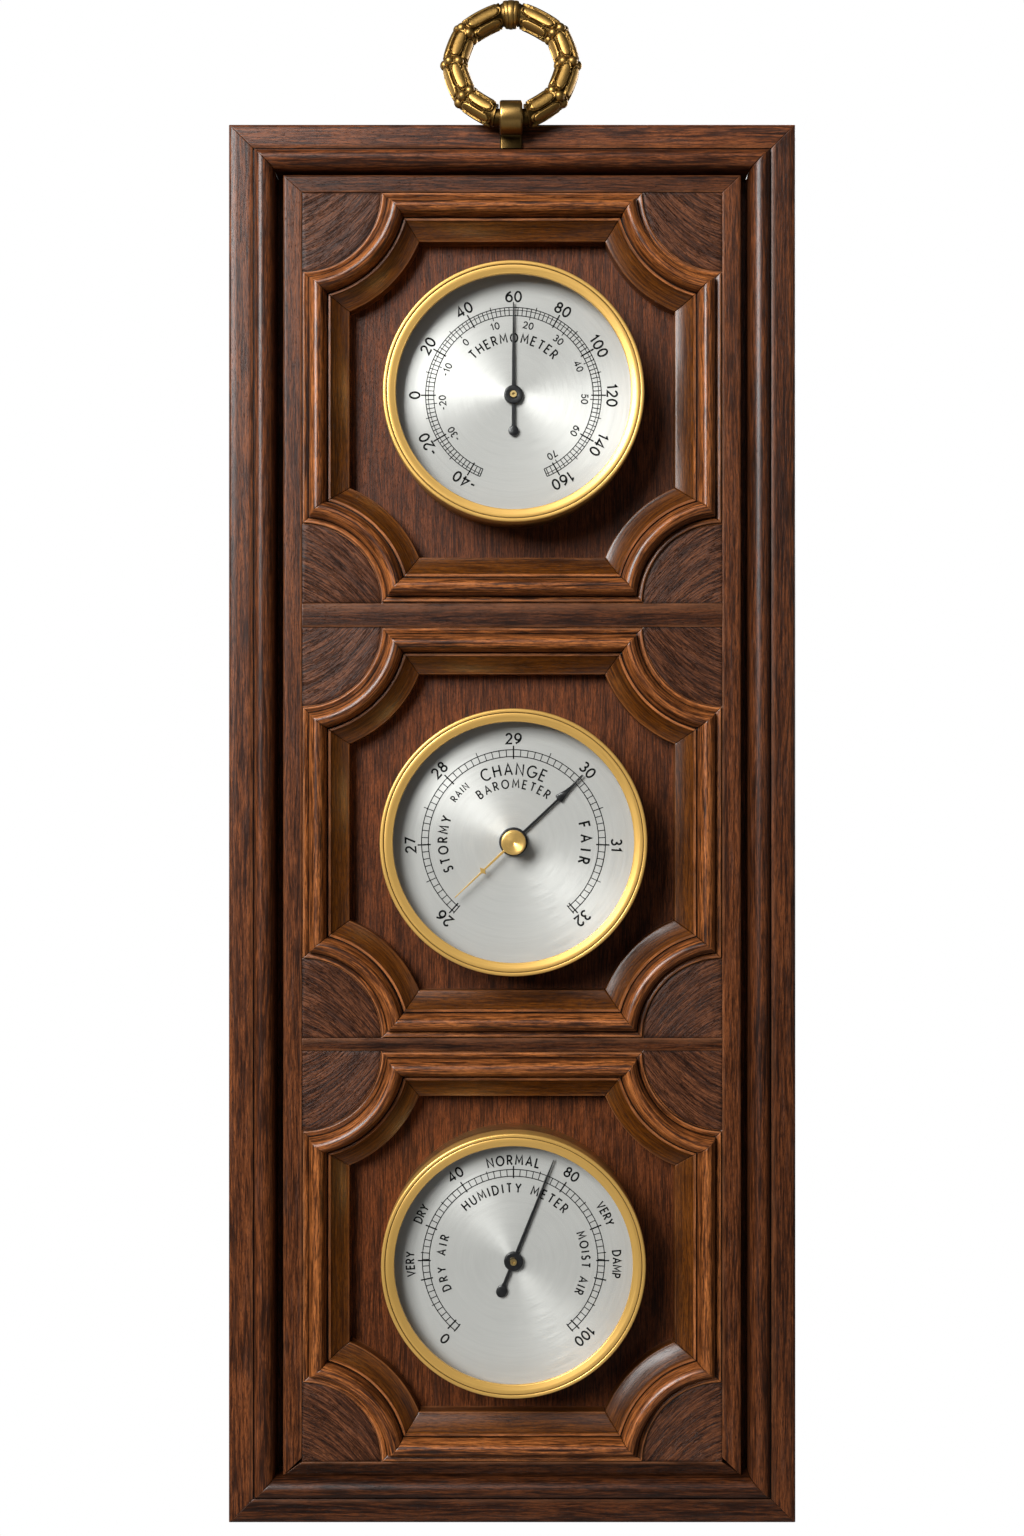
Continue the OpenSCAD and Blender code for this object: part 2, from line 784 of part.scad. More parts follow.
module barometer_pillars() color(brass) at_gauge(BARO) for (p = pillar_at)
    translate([p[0], p[1], base_top]) difference() {
        cylinder(r = pillar_r, h = baro_bridge_h - base_top, $fn = fine_fn);
        translate([0, 0, baro_bridge_h - base_top - 1.4]) cylinder(r = small_screw_r, h = 2, $fn = fine_fn);
    }

module barometer_bridge() color(brass) at_gauge(BARO) difference() {
    union() {
        translate([pillar_at[0][0] - 4, -6, baro_bridge_h])
            cube([pillar_at[1][0] - pillar_at[0][0] + 8, 9, bridge_t]);
        translate([-7, 0, 8]) cylinder(r = 0.9, h = baro_bridge_h - 7.5, $fn = fine_fn);
    }
    for (x = [0, sector_at]) translate([x, 0, baro_bridge_h - 1])
        cylinder(r = arbor_r + running, h = 3, $fn = fine_fn);
    for (p = pillar_at) translate([p[0], p[1], baro_bridge_h - 1])
        cylinder(r = small_screw_r, h = 3, $fn = fine_fn);
}

module barometer_movement_screws() color(steel) at_gauge(BARO) {
    for (p = pillar_at) translate([p[0], p[1], baro_bridge_h + bridge_t])
        mirror([0, 0, 1]) small_screw();
    for (p = plate_screw_at) translate([p[0], p[1], base_top]) mirror([0, 0, 1]) small_screw();
}

// Evacuated capsule with ringed faces, on a stud below and with a stud above
module aneroid_capsule() color(silver) at_gauge(BARO)
    translate([capsule_at[0], capsule_at[1], 0]) difference() {
        rotate_extrude() polygon([
            [0, base_top],
            [seat_r, base_top],
            each [for (k = [0:4]) [seat_r + 1.5 * k, capsule_low + ridge * (k % 2)]],
            [capsule_r, capsule_low + capsule_t / 2 - ridge / 2],
            [capsule_r, capsule_low + capsule_t / 2 + ridge / 2],
            each [for (k = [4:-1:0]) [seat_r + 1.5 * k, capsule_low + capsule_t - ridge * (k % 2)]],
            [stud_screw_r, capsule_low + capsule_t],
            [stud_screw_r, spring_h - 0.3],
            [0, spring_h - 0.3]
        ]);
        translate([0, 0, base_top - over])
            cylinder(r = stud_screw_r + running, h = over + 0.8, $fn = fine_fn);
    }

module capsule_adjusting_screw() color(brass) at_gauge(BARO)
    translate([capsule_at[0], capsule_at[1], 0]) difference() {
        union() {
            translate([0, 0, -0.8]) cylinder(r = adjusting_head_r, h = 1.6, $fn = fine_fn);
            translate([0, 0, 0.5]) cylinder(r = stud_screw_r, h = base_top + 0.2, $fn = fine_fn);
        }
        translate([-adjusting_head_r - over, -slot_w / 2, -over - 0.8])
            cube([2 * (adjusting_head_r + over), slot_w, over + 0.6]);
    }

// Leaf spring over the capsule, with its heel on the base plate and a lever at its free end
module main_spring() color(steel) at_gauge(BARO) {
    y = capsule_at[1];
    step_x = capsule_at[0] + capsule_r + 1.5;
    foot_h = base_top + 0.15;
    low_y = y - spring_w / 2;
    top_h = spring_h + spring_t;
    translate([heel_x - 2, low_y, foot_h]) cube([4.5, spring_w, 1]);
    translate([heel_x - 2, low_y, foot_h]) cube([1.2, spring_w, top_h - foot_h]);
    translate([heel_x - 2, low_y, spring_h]) cube([step_x - heel_x + 3, spring_w, spring_t]);
    translate([step_x, low_y, lever_h]) cube([lever_t, spring_w, top_h - lever_h]);
    translate([0, 0, lever_h]) linear_extrude(lever_t) polygon([
        [step_x, y], [step_x + lever_t, y],
        [short_arm_x + 1, 2.3], [short_arm_x + 1, 0.6],
        [short_arm_x - 1, 0.6], [step_x, low_y]
    ]);
}

// Shaft in two brackets, with a short arm under the lever and a rod that moves the sector's tail
module rocking_shaft() color(brass) at_gauge(BARO) {
    translate([shaft_ends[0], shaft_y, shaft_h]) rotate([0, 90, 0])
        cylinder(r = shaft_r, h = shaft_ends[1] - shaft_ends[0], $fn = fine_fn);
    translate([short_arm_x - 1, shaft_y, shaft_h - 0.5]) cube([2, 4.2, 1]);
    translate([sector_at + tail_reach, shaft_y, shaft_h])
        cylinder(r = rod_r, h = 7.4, $fn = fine_fn);
}

// One gear tooth that points along +x, for a wheel of the given pitch radius
module tooth(pitch_r, teeth) {
    half_angle = 90 / teeth;
    root = pitch_r - 1.3 * tooth_m;
    tip = pitch_r + 0.9 * tooth_m;
    polygon([
        [root * cos(half_angle), -root * sin(1.05 * half_angle)],
        [pitch_r, -pitch_r * sin(0.78 * half_angle)],
        [tip, -tip * sin(0.3 * half_angle)],
        [tip, tip * sin(0.3 * half_angle)],
        [pitch_r, pitch_r * sin(0.78 * half_angle)],
        [root * cos(half_angle), root * sin(1.05 * half_angle)]
    ]);
}

sector_r = tooth_m * sector_teeth / 2;
sector_first = -5;
sector_last = 8;

module sector_gear() color(brass) at_gauge(BARO) translate([sector_at, 0, 0]) difference() {
    pitch = 360 / sector_teeth;
    rim = sector_r - 1.25 * tooth_m;
    union() {
        translate([0, 0, gear_h]) linear_extrude(gear_t) {
            for (k = [sector_first:sector_last])
                rotate([0, 0, 180 + pitch * k]) tooth(sector_r, sector_teeth);
            intersection() {
                difference() {
                    circle(r = rim);
                    circle(r = rim - 1.8);
                }
                polygon([
                    [0, 0],
                    for (k = [sector_first - 0.5, 0, sector_last + 0.5])
                        2 * sector_r * [cos(180 + pitch * k), sin(180 + pitch * k)]
                ]);
            }
            for (k = [sector_first, sector_last])
                rotate([0, 0, 180 + pitch * k]) translate([0, -0.7]) square([rim - 1, 1.4]);
            circle(r = 2, $fn = fine_fn);
            translate([0, -1]) square([tail_reach + 1.5, 2]);
        }
        translate([0, 0, case_wall + 0.3]) cylinder(r = arbor_r, h = baro_bridge_h - 0.2, $fn = fine_fn);
    }
}

module barometer_arbor() color(brass) at_gauge(BARO) difference() {
    pinion_r = tooth_m * pinion_teeth / 2;
    union() {
        translate([0, 0, case_wall + 0.3]) cylinder(r = arbor_r, h = pointer_back - 1, $fn = fine_fn);
        translate([0, 0, gear_h - 0.5]) linear_extrude(gear_t + 0.8) {
            circle(r = pinion_r - 1.25 * tooth_m, $fn = fine_fn);
            for (k = [0:pinion_teeth - 1])
                rotate([0, 0, (k + 0.5) * 360 / pinion_teeth]) tooth(pinion_r, pinion_teeth);
        }
        translate([0, 0, pointer_back]) cylinder(r = arbor_cap_r, h = 1.6, $fn = fine_fn);
    }
}

module hairspring() color(steel) at_gauge(BARO)
    rotate([0, 0, 180]) spiral_strip(1.2, 6, 6, 0.2, 8.2, 0.8);

module barometer_pointer() color(black) at_gauge(BARO) clockwise(barometer_angle) difference() {
    union() {
        translate([0, 0, pointer_h]) linear_extrude(pointer_t) {
            polygon([[-0.5, 0], [-0.5, 22], [-0.25, 35.4], [0.25, 35.4], [0.5, 22], [0.5, 0]]);
            polygon([[-1.7, 22.5], [0, 24], [1.7, 22.5], [0.4, 30], [-0.4, 30]]);
        }
        disc(5.3, pointer_back, pointer_top);
    }
    translate([0, 0, pointer_back - 1]) cylinder(r = arbor_cap_r, h = 4, $fn = fine_fn);
}

module set_hand() color(brass) at_gauge(BARO) clockwise(set_angle) {
    disc(3, set_hand_h, set_hand_h + set_hand_t, stem_r);
    translate([0, 0, set_hand_h + 0.1]) linear_extrude(0.4) polygon([
        [-0.5, 2.4], [-0.4, 14.6], [-1.8, 15.4], [-0.4, 16.2], [-0.3, 29.6],
        [0.3, 29.6], [0.4, 16.2], [1.8, 15.4], [0.4, 14.6], [0.5, 2.4]
    ]);
}

// Knob in front of the glass, with its stem through the glass
module set_knob() color(brass) at_gauge(BARO) {
    knob_back = lens_back + lens_t + 0.1;
    translate([0, 0, set_hand_h]) cylinder(r = stem_r, h = knob_back - set_hand_h + 0.5, $fn = fine_fn);
    translate([0, 0, knob_back]) difference() {
        cylinder(r = knob_r, h = knob_t);
        translate([0, 0, knob_t - dimple_d])
            cylinder(r1 = 0.2, r2 = dimple_r, h = dimple_d + 0.1, $fn = fine_fn);
    }
}

// Humidity meter

module hygrometer_case() color(old_brass) case_shell(HYGRO, [[0, 0, stud_r + running]]);

module hygrometer_bezel() color(brass) bezel_ring(HYGRO);

module hygrometer_lens() color("white", 0.2) lens_disc(HYGRO, 0);

module hygrometer_dial() color(silver) dial_plate(HYGRO, arbor_r + running);

module hygrometer_bridge() color(brass) rear_bridge(HYGRO);

module hygrometer_adjuster() color(brass) adjuster(HYGRO);

module humidity_coil() color("burlywood") coil(HYGRO);

module hygrometer_arbor() color(brass) arbor(HYGRO);

module hygrometer_pointer() color(black) at_gauge(HYGRO) clockwise(humidity_angle)
    plain_pointer(reach = 40, tail = 11.8, ball_r = 2, hub_r = 3.55);

outer_rail_top();
outer_rail_bottom();
outer_stile_left();
outer_stile_right();
back_panel();
field_stile_left();
field_stile_right();
field_rail_top();
cross_rail_upper();
cross_rail_lower();
field_rail_bottom();
thermometer_straight_moulding();
thermometer_scooped_moulding();
barometer_straight_moulding();
barometer_scooped_moulding();
hygrometer_straight_moulding();
hygrometer_scooped_moulding();
corner_spandrels();
keyhole_plate();
keyhole_screws();
hanger_strap();
hanger_ring();
case_screws();
bridge_screws();
thermometer_case();
thermometer_bezel();
thermometer_lens();
thermometer_dial();
thermometer_bridge();
thermometer_adjuster();
bimetal_coil();
thermometer_arbor();
thermometer_pointer();
barometer_case();
barometer_bezel();
barometer_lens();
barometer_dial();
barometer_base_plate();
barometer_pillars();
barometer_bridge();
barometer_movement_screws();
aneroid_capsule();
capsule_adjusting_screw();
main_spring();
rocking_shaft();
sector_gear();
barometer_arbor();
hairspring();
barometer_pointer();
set_hand();
set_knob();
hygrometer_case();
hygrometer_bezel();
hygrometer_lens();
hygrometer_dial();
hygrometer_bridge();
hygrometer_adjuster();
humidity_coil();
hygrometer_arbor();
hygrometer_pointer();
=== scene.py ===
"""Dresses the wall weather station: stained walnut board, cast ring, brass bezels and brushed dials.

Shapes are drawn in millimetres in the board's own frame: x to the right, up the board from the keyhole,
and out from the wall. place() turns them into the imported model's frame, in metres.
"""

from __future__ import annotations

import json
import logging
import math
from collections.abc import Sequence
from dataclasses import dataclass, field, replace
from enum import Enum

import bmesh
import bpy
import numpy as np
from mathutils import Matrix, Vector

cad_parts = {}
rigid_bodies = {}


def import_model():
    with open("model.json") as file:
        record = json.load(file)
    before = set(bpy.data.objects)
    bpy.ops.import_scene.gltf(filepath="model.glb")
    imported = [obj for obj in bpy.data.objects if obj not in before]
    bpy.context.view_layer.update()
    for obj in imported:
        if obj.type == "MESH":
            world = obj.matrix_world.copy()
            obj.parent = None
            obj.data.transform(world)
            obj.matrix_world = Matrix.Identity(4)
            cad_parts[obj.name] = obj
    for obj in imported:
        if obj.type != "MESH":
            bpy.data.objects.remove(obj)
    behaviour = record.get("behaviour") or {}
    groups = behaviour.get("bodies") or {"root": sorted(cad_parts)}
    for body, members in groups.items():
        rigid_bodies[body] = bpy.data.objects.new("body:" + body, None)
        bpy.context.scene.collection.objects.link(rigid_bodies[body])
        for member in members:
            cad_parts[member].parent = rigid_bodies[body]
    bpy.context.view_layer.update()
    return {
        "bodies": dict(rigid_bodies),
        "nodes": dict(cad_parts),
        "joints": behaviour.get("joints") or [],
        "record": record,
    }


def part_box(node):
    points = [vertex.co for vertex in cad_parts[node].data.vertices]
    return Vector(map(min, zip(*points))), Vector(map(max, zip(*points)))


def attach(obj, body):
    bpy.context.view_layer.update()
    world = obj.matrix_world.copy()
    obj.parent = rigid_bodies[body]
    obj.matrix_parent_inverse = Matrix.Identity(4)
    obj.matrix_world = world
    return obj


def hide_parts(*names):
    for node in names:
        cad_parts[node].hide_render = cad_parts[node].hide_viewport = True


LOG = logging.getLogger("weather_station")
MM = 0.001
TAU = 2.0 * math.pi
GRAIN = "grain"
CREST = "crest"
HOLLOW = "hollow"
COVE = "cove"

Colour = tuple[float, float, float]
Point = tuple[float, float]


def place(x: np.ndarray, up: np.ndarray, out: np.ndarray) -> np.ndarray:
    """Turns board millimetres into the frame's metres.

    Args:
        x: Distances to the right.
        up: Heights above the keyhole.
        out: Distances out from the wall.

    Returns:
        Points with X = x, Y = -out and Z = up.
    """
    x, up, out = np.broadcast_arrays(x, up, out)
    return np.stack([x * MM, -out * MM, up * MM], axis=-1)


def arc(cx: float, cy: float, rx: float, ry: float, start: float, end: float, steps: int = 12) -> np.ndarray:
    """Points on an ellipse: centre plus (rx cos a, ry sin a), for a from start to end.

    Args:
        cx: Centre, sideways.
        cy: Centre, upwards.
        rx: Half width.
        ry: Half height.
        start: First angle in degrees.
        end: Last angle in degrees.
        steps: Number of stretches between the points.

    Returns:
        An array of points, two numbers each.
    """
    a = np.radians(np.linspace(start, end, steps + 1))
    return np.stack([cx + rx * np.cos(a), cy + ry * np.sin(a)], axis=-1)


def chain(*parts: Sequence[Sequence[float]] | np.ndarray) -> np.ndarray:
    """Joins points and arcs into one line, without repeated points.

    Args:
        parts: Arrays or lists of points.

    Returns:
        The joined points.
    """
    points = np.concatenate([np.asarray(p, float).reshape(-1, 2) for p in parts])
    keep = np.ones(len(points), bool)
    keep[1:] = np.linalg.norm(np.diff(points, axis=0), axis=1) > 1e-4
    return points[keep]


def lengths(points: np.ndarray) -> np.ndarray:
    """Running length along a line of points, from zero at the first."""
    steps = np.linalg.norm(np.diff(points, axis=0), axis=1)
    return np.concatenate([[0.0], np.cumsum(steps)])


def dimmed(colour: Colour, factor: float) -> Colour:
    """A colour times a factor."""
    return tuple(c * factor for c in colour)


def smoothstep(x: np.ndarray) -> np.ndarray:
    """Rises from 0 to 1 as x does, level at both ends: 3 x squared less 2 x cubed."""
    x = np.clip(x, 0.0, 1.0)
    return x * x * (3.0 - 2.0 * x)


class Mesh:
    """Gathers grids and caps of one piece, then makes the Blender object."""

    def __init__(self) -> None:
        """Starts with no points."""
        self.points: list[np.ndarray] = []
        self.faces: list[list[int]] = []
        self.face_uv: list[np.ndarray] = []
        self.shades: dict[str, list[np.ndarray]] = {CREST: [], HOLLOW: [], COVE: []}
        self.count = 0

    def grid(
        self,
        points: np.ndarray,
        uv: np.ndarray | None = None,
        closed: tuple[bool, bool] = (False, False),
        crest: np.ndarray | float = 0.0,
        hollow: np.ndarray | float = 0.0,
        cove: np.ndarray | float = 0.0,
    ) -> np.ndarray:
        """Adds a surface of rows and columns of points.

        Args:
            points: Rows by columns by three, in metres.
            uv: Rows by columns by two, one longer in a direction that closes on itself.
            closed: Whether the rows and the columns run round into a ring.
            crest: Wear of each point, 0 to 1.
            hollow: Depth of old stain, patina and painted shade at each point, 0 to 1.
            cove: How much of the golden glaze each point has, 0 to 1.

        Returns:
            The points' indices, rows by columns.
        """
        rows, cols = points.shape[:2]
        index = self.count + np.arange(rows * cols).reshape(rows, cols)
        r = np.arange(rows if closed[0] else rows - 1)
        c = np.arange(cols if closed[1] else cols - 1)
        rr, cc = np.meshgrid(r, c, indexing="ij")
        r1, c1 = (rr + 1) % rows, (cc + 1) % cols
        quads = np.stack([index[rr, cc], index[r1, cc], index[r1, c1], index[rr, c1]], axis=-1)
        self.faces += quads.reshape(-1, 4).tolist()
        if uv is None:
            uv = np.zeros((rows + 1, cols + 1, 2))
        corners = np.stack([uv[rr, cc], uv[rr + 1, cc], uv[rr + 1, cc + 1], uv[rr, cc + 1]], axis=-2)
        self.face_uv.append(corners.reshape(-1, 2))
        self.points.append(points.reshape(-1, 3))
        for name, value in ((CREST, crest), (HOLLOW, hollow), (COVE, cove)):
            self.shades[name].append(np.broadcast_to(value, (rows, cols)).ravel())
        self.count += rows * cols
        return index

    def cap(self, indices: Sequence[int], uv: Sequence[float] = (0.0, 0.0)) -> None:
        """Closes a ring of points that are already there with one flat face.

        Args:
            indices: The ring's points in order.
            uv: The map point that the whole face takes.
        """
        self.faces.append([int(i) for i in indices])
        self.face_uv.append(np.tile(np.asarray(uv, float), (len(indices), 1)))

    def close_ends(self, first: np.ndarray, last: np.ndarray) -> None:
        """Caps a tube's two open ends, given its first and its last ring of points."""
        self.cap(first)
        self.cap(last[::-1])

    def build(self, name: str, material: bpy.types.Material, sharp: float = 32.0) -> bpy.types.Object:
        """Makes the object, with outward normals, a map and the shade attributes.

        Args:
            name: Name of the piece.
            material: Its finish.
            sharp: Edges that turn more than this many degrees stay crisp.

        Returns:
            The new object, linked to the scene.
        """
        mesh = bpy.data.meshes.new(name)
        mesh.from_pydata(np.concatenate(self.points).tolist(), [], self.faces)
        layer = mesh.uv_layers.new(name=GRAIN)
        layer.data.foreach_set("uv", np.concatenate(self.face_uv).astype(np.float32).ravel())
        for key, parts in self.shades.items():
            attribute = mesh.attributes.new(key, "FLOAT", "POINT")
            attribute.data.foreach_set("value", np.concatenate(parts).astype(np.float32))
        work = bmesh.new()
        work.from_mesh(mesh)
        bmesh.ops.recalc_face_normals(work, faces=work.faces)
        work.to_mesh(mesh)
        work.free()
        mesh.shade_smooth()
        mesh.set_sharp_from_angle(angle=math.radians(sharp))
        mesh.materials.append(material)
        piece = bpy.data.objects.new(name, mesh)
        bpy.context.scene.collection.objects.link(piece)
        return piece


def turned(
    mesh: Mesh,
    profile: np.ndarray,
    centre: Point,
    steps: int = 160,
    hollow: np.ndarray | float = 0.0,
    by_radius: bool = False,
) -> None:
    """Adds a turned shape: each profile point (r, out) runs round the centre as (r cos a, r sin a).

    Args:
        mesh: The mesh that takes it.
        profile: Points of (radius, distance out), closed if the first isn't on the axis.
        centre: The axis, as (x, up).
        steps: Points round the circle.
        hollow: Old dirt and painted shade at each profile point.
        by_radius: Whether the map's second number is the radius, and not the length along the profile.
    """
    a = np.linspace(0.0, TAU, steps, endpoint=False)
    on_axis = profile[0, 0] < 1e-6
    body = profile[1:-1] if on_axis else profile
    r, out = body[:, 0][:, None], body[:, 1][:, None]
    points = place(centre[0] + r * np.cos(a), centre[1] + r * np.sin(a), out + 0.0 * a)
    ring = np.concatenate([body, body[:1]])
    along = (ring[:, 0] if by_radius else lengths(ring))[:, None] * MM
    round_uv = np.linspace(0.0, 1.0, steps + 1)[None, :]
    uv = np.stack(np.broadcast_arrays(round_uv, along), axis=-1)
    shade = np.asarray(hollow)[:, None] if np.ndim(hollow) else hollow
    index = mesh.grid(points, uv, closed=(not on_axis, True), hollow=shade)
    if on_axis:
        mesh.close_ends(index[0][::-1], index[-1][::-1])


class Shader:
    """Short ways to add and join a material's nodes."""

    def __init__(self, name: str) -> None:
        """Starts a material of the given name with an empty tree."""
        self.material = bpy.data.materials.new(name)
        self.material.use_nodes = True
        self.tree = self.material.node_tree
        self.tree.nodes.clear()
        self.output = self.tree.nodes.new("ShaderNodeOutputMaterial")

    def node(self, kind: str, **values: object) -> bpy.types.Node:
        """Adds a node and sets its properties.

        Args:
            kind: The node's type without the ShaderNode prefix.
            values: Properties of the node.

        Returns:
            The node.
        """
        made = self.tree.nodes.new("ShaderNode" + kind)
        for key, value in values.items():
            setattr(made, key, value)
        return made

    def link(self, source: object, target: bpy.types.NodeSocket) -> None:
        """Joins a socket, or sets a plain value on it."""
        if isinstance(source, bpy.types.NodeSocket):
            self.tree.links.new(source, target)
        else:
            target.default_value = source

    def math(self, operation: str, a: object, b: object = 0.0, clamp: bool = False) -> bpy.types.NodeSocket:
        """One sum of two values, each a socket or a number."""
        made = self.node("Math", operation=operation, use_clamp=clamp)
        self.link(a, made.inputs[0])
        self.link(b, made.inputs[1])
        return made.outputs[0]

    def span(self, value: object, low: float, high: float, to: Point = (0.0, 1.0)) -> object:
        """Maps a value from low..high to the two numbers in to, smoothly and without going past them."""
        made = self.node("MapRange", interpolation_type="SMOOTHSTEP")
        for key, number in (("Value", value), ("From Min", low), ("From Max", high)):
            self.link(number, made.inputs[key])
        made.inputs["To Min"].default_value = to[0]
        made.inputs["To Max"].default_value = to[1]
        return made.outputs[0]

    def mix(self, factor: object, a: object, b: object, blend: str = "MIX") -> bpy.types.NodeSocket:
        """Mixes two colours by a factor."""
        made = self.node("Mix", data_type="RGBA", blend_type=blend, clamp_factor=True)
        for slot, value in ((0, factor), (6, a), (7, b)):
            if isinstance(value, tuple):
                value = (*value, 1.0)
            self.link(value, made.inputs[slot])
        return made.outputs[2]

    def noise(
        self, vector: object, scale: Colour | float, detail: float = 3.0, rough: float = 0.55
    ) -> bpy.types.NodeSocket:
        """Noise over a vector that is stretched by scale, in cycles per metre.

        Args:
            vector: The place to read, in metres.
            scale: Cycles per metre in the three directions, or in all of them.
            detail: Octaves.
            rough: How strong the fine octaves are.

        Returns:
            A value around 0.5.
        """
        mapping = self.node("Mapping")
        self.link(vector, mapping.inputs["Vector"])
        mapping.inputs["Scale"].default_value = scale if isinstance(scale, tuple) else (scale, scale, scale)
        made = self.node("TexNoise", noise_dimensions="3D")
        self.link(mapping.outputs[0], made.inputs["Vector"])
        made.inputs["Scale"].default_value = 1.0
        made.inputs["Detail"].default_value = detail
        made.inputs["Roughness"].default_value = rough
        return made.outputs["Fac"]

    def attribute(self, name: str) -> bpy.types.NodeSocket:
        """A shade attribute of the piece."""
        return self.node("Attribute", attribute_name=name, attribute_type="GEOMETRY").outputs["Fac"]

    def bump(self, height: object, distance: float, strength: float) -> bpy.types.NodeSocket:
        """Turns a height from 0 to 1 into a normal, with distance in metres."""
        made = self.node("Bump")
        made.inputs["Strength"].default_value = strength
        made.inputs["Distance"].default_value = distance
        self.link(height, made.inputs["Height"])
        return made.outputs[0]

    def in_place(self) -> bpy.types.NodeSocket:
        """The place on the piece, in metres."""
        return self.node("TexCoord").outputs["Object"]

    def either(self, factor: object, first: bpy.types.Node, second: bpy.types.Node) -> None:
        """Joins two surfaces to the output, the second as far as the factor says."""
        both = self.node("MixShader")
        self.link(factor, both.inputs[0])
        self.link(first.outputs[0], both.inputs[1])
        self.link(second.outputs[0], both.inputs[2])
        self.link(both.outputs[0], self.output.inputs["Surface"])

    def principled(self, **values: object) -> bpy.types.Node:
        """Adds the surface shader and joins it to the output.

        Args:
            values: Sockets by name, with spaces as underscores.

        Returns:
            The shader node.
        """
        made = self.node("BsdfPrincipled")
        for key, value in values.items():
            if isinstance(value, tuple):
                value = (*value, 1.0)
            self.link(value, made.inputs[key.replace("_", " ")])
        self.tree.links.new(made.outputs[0], self.output.inputs["Surface"])
        return made


class Grain(Enum):
    """Where the grain of a wooden piece runs."""

    ALONG_MAP = "map"
    UP_BOARD = "up"


class GaugeKind(Enum):
    """The three gauges from the top, by the first word of their nodes."""

    THERMOMETER = "thermometer"
    BAROMETER = "barometer"
    HYGROMETER = "hygrometer"


@dataclass(frozen=True)
class Walnut:
    """Stained and waxed walnut.

    The grain is three noises stretched along the fibres, from broad figure to short open pores. Old stain and
    painted shade darken the hollows, and wear lightens the crests.
    """

    name: str
    dark: Colour
    mid: Colour
    light: Colour
    worn: Colour
    grain: Grain = Grain.ALONG_MAP
    relief: float = 0.00012
    roughness: float = 0.36
    coat: float = 0.04
    specular: float = 0.18
    pore: float = 0.7
    scale: float = 1.0
    wear: float = 0.45
    soft: float = 0.0
    ash: float = 0.30
    crack: float = 0.0
    grey: Colour = (0.078, 0.050, 0.042)
    glaze: Colour = (0.135, 0.039, 0.0036)
    glaze_dark: Colour = (0.034, 0.0088, 0.0012)

    def toned(self, name: str, factor: float) -> Walnut:
        """The same wood darkened by a factor: painted shade for a side or part that gets less light."""
        tones = {key: dimmed(getattr(self, key), factor) for key in ("dark", "mid", "light", "grey")}
        return replace(self, name=name, **tones)

    def make(self) -> bpy.types.Material:
        """Builds the material.

        Returns:
            A Principled material with its grain in colour, roughness and bump.
        """
        s = Shader(self.name)
        vector = self.grain_vector(s)
        k = self.scale

        def fibres(at: object, along: float, across: float, detail: float, rough: float = 0.55) -> object:
            """Noise with so many cycles a metre along the grain and across it."""
            return s.noise(at, (along * k, across * k, across * k), detail, rough)

        wave = fibres(vector, 9.0, 60.0, 2.0)
        split = s.node("SeparateXYZ")
        s.link(vector, split.inputs[0])
        across = s.math("ADD", split.outputs[1], s.math("MULTIPLY", s.math("SUBTRACT", wave, 0.5), 0.006 / k))
        bent = s.node("CombineXYZ")
        s.link(split.outputs[0], bent.inputs[0])
        s.link(across, bent.inputs[1])
        s.link(split.outputs[2], bent.inputs[2])
        line = bent.outputs[0]
        figure = fibres(line, 7.0, 110.0, 3.0, 0.6)
        streak = fibres(line, 34.0, 620.0, 4.0, 0.62)
        fibre = fibres(line, 150.0, 2300.0, 3.0, 0.6)
        pores = s.span(fibres(line, 210.0, 1900.0, 2.0, 0.5), 0.60, 0.70)
        tone = s.math("ADD", s.math("MULTIPLY", figure, 0.34), s.math("MULTIPLY", streak, 0.66))
        colour = s.mix(s.span(tone, 0.41 - self.soft, 0.53 + self.soft), self.dark, self.mid)
        colour = s.mix(s.span(tone, 0.49 - self.soft, 0.61 + self.soft), colour, self.light)
        golden = s.mix(s.span(tone, 0.36, 0.62), self.glaze_dark, self.glaze)
        colour = s.mix(s.attribute(COVE), colour, golden)
        ash = s.span(fibres(vector, 22.0, 300.0, 3.0), 0.5, 0.75, (0.0, self.ash))
        colour = s.mix(ash, colour, self.grey)
        colour = s.mix(s.span(fibre, 0.36, 0.56, (0.75, 0.0)), colour, self.dark)
        colour = s.mix(s.math("MULTIPLY", pores, self.pore), colour, dimmed(self.dark, 0.25))
        ridge = s.math("ABSOLUTE", s.math("SUBTRACT", fibres(line, 16.0, 170.0, 4.0, 0.6), 0.5))
        cracks = s.span(ridge, 0.0, 0.030, (self.crack, 0.0))
        colour = s.mix(cracks, colour, dimmed(self.dark, 0.35))
        crest = s.math("MULTIPLY", s.attribute(CREST), self.wear)
        hollow = s.attribute(HOLLOW)
        rub = s.noise(vector, (55.0, 240.0, 240.0), 3.0)
        colour = s.mix(s.math("MULTIPLY", crest, s.span(rub, 0.35, 0.62, (0.2, 1.0))), colour, self.worn)
        # Painted shade with old stain: the hollows go almost black.
        colour = s.mix(s.math("MULTIPLY", hollow, 0.92), colour, dimmed(self.dark, 0.08))
        rough = s.math("ADD", self.roughness - 0.08, s.math("MULTIPLY", streak, 0.16))
        rough = s.math("ADD", rough, s.math("MULTIPLY", pores, 0.18), clamp=True)
        height = s.math("SUBTRACT", s.math("MULTIPLY", streak, 0.45), s.math("MULTIPLY", pores, 0.5))
        height = s.math("ADD", height, s.math("MULTIPLY", fibre, 0.35))
        height = s.math("SUBTRACT", height, cracks)
        s.principled(
            Base_Color=colour,
            Roughness=rough,
            Normal=s.bump(height, self.relief, 1.0),
            Specular_IOR_Level=self.specular,
            Coat_Weight=self.coat,
            Coat_Roughness=0.26,
        )
        return s.material

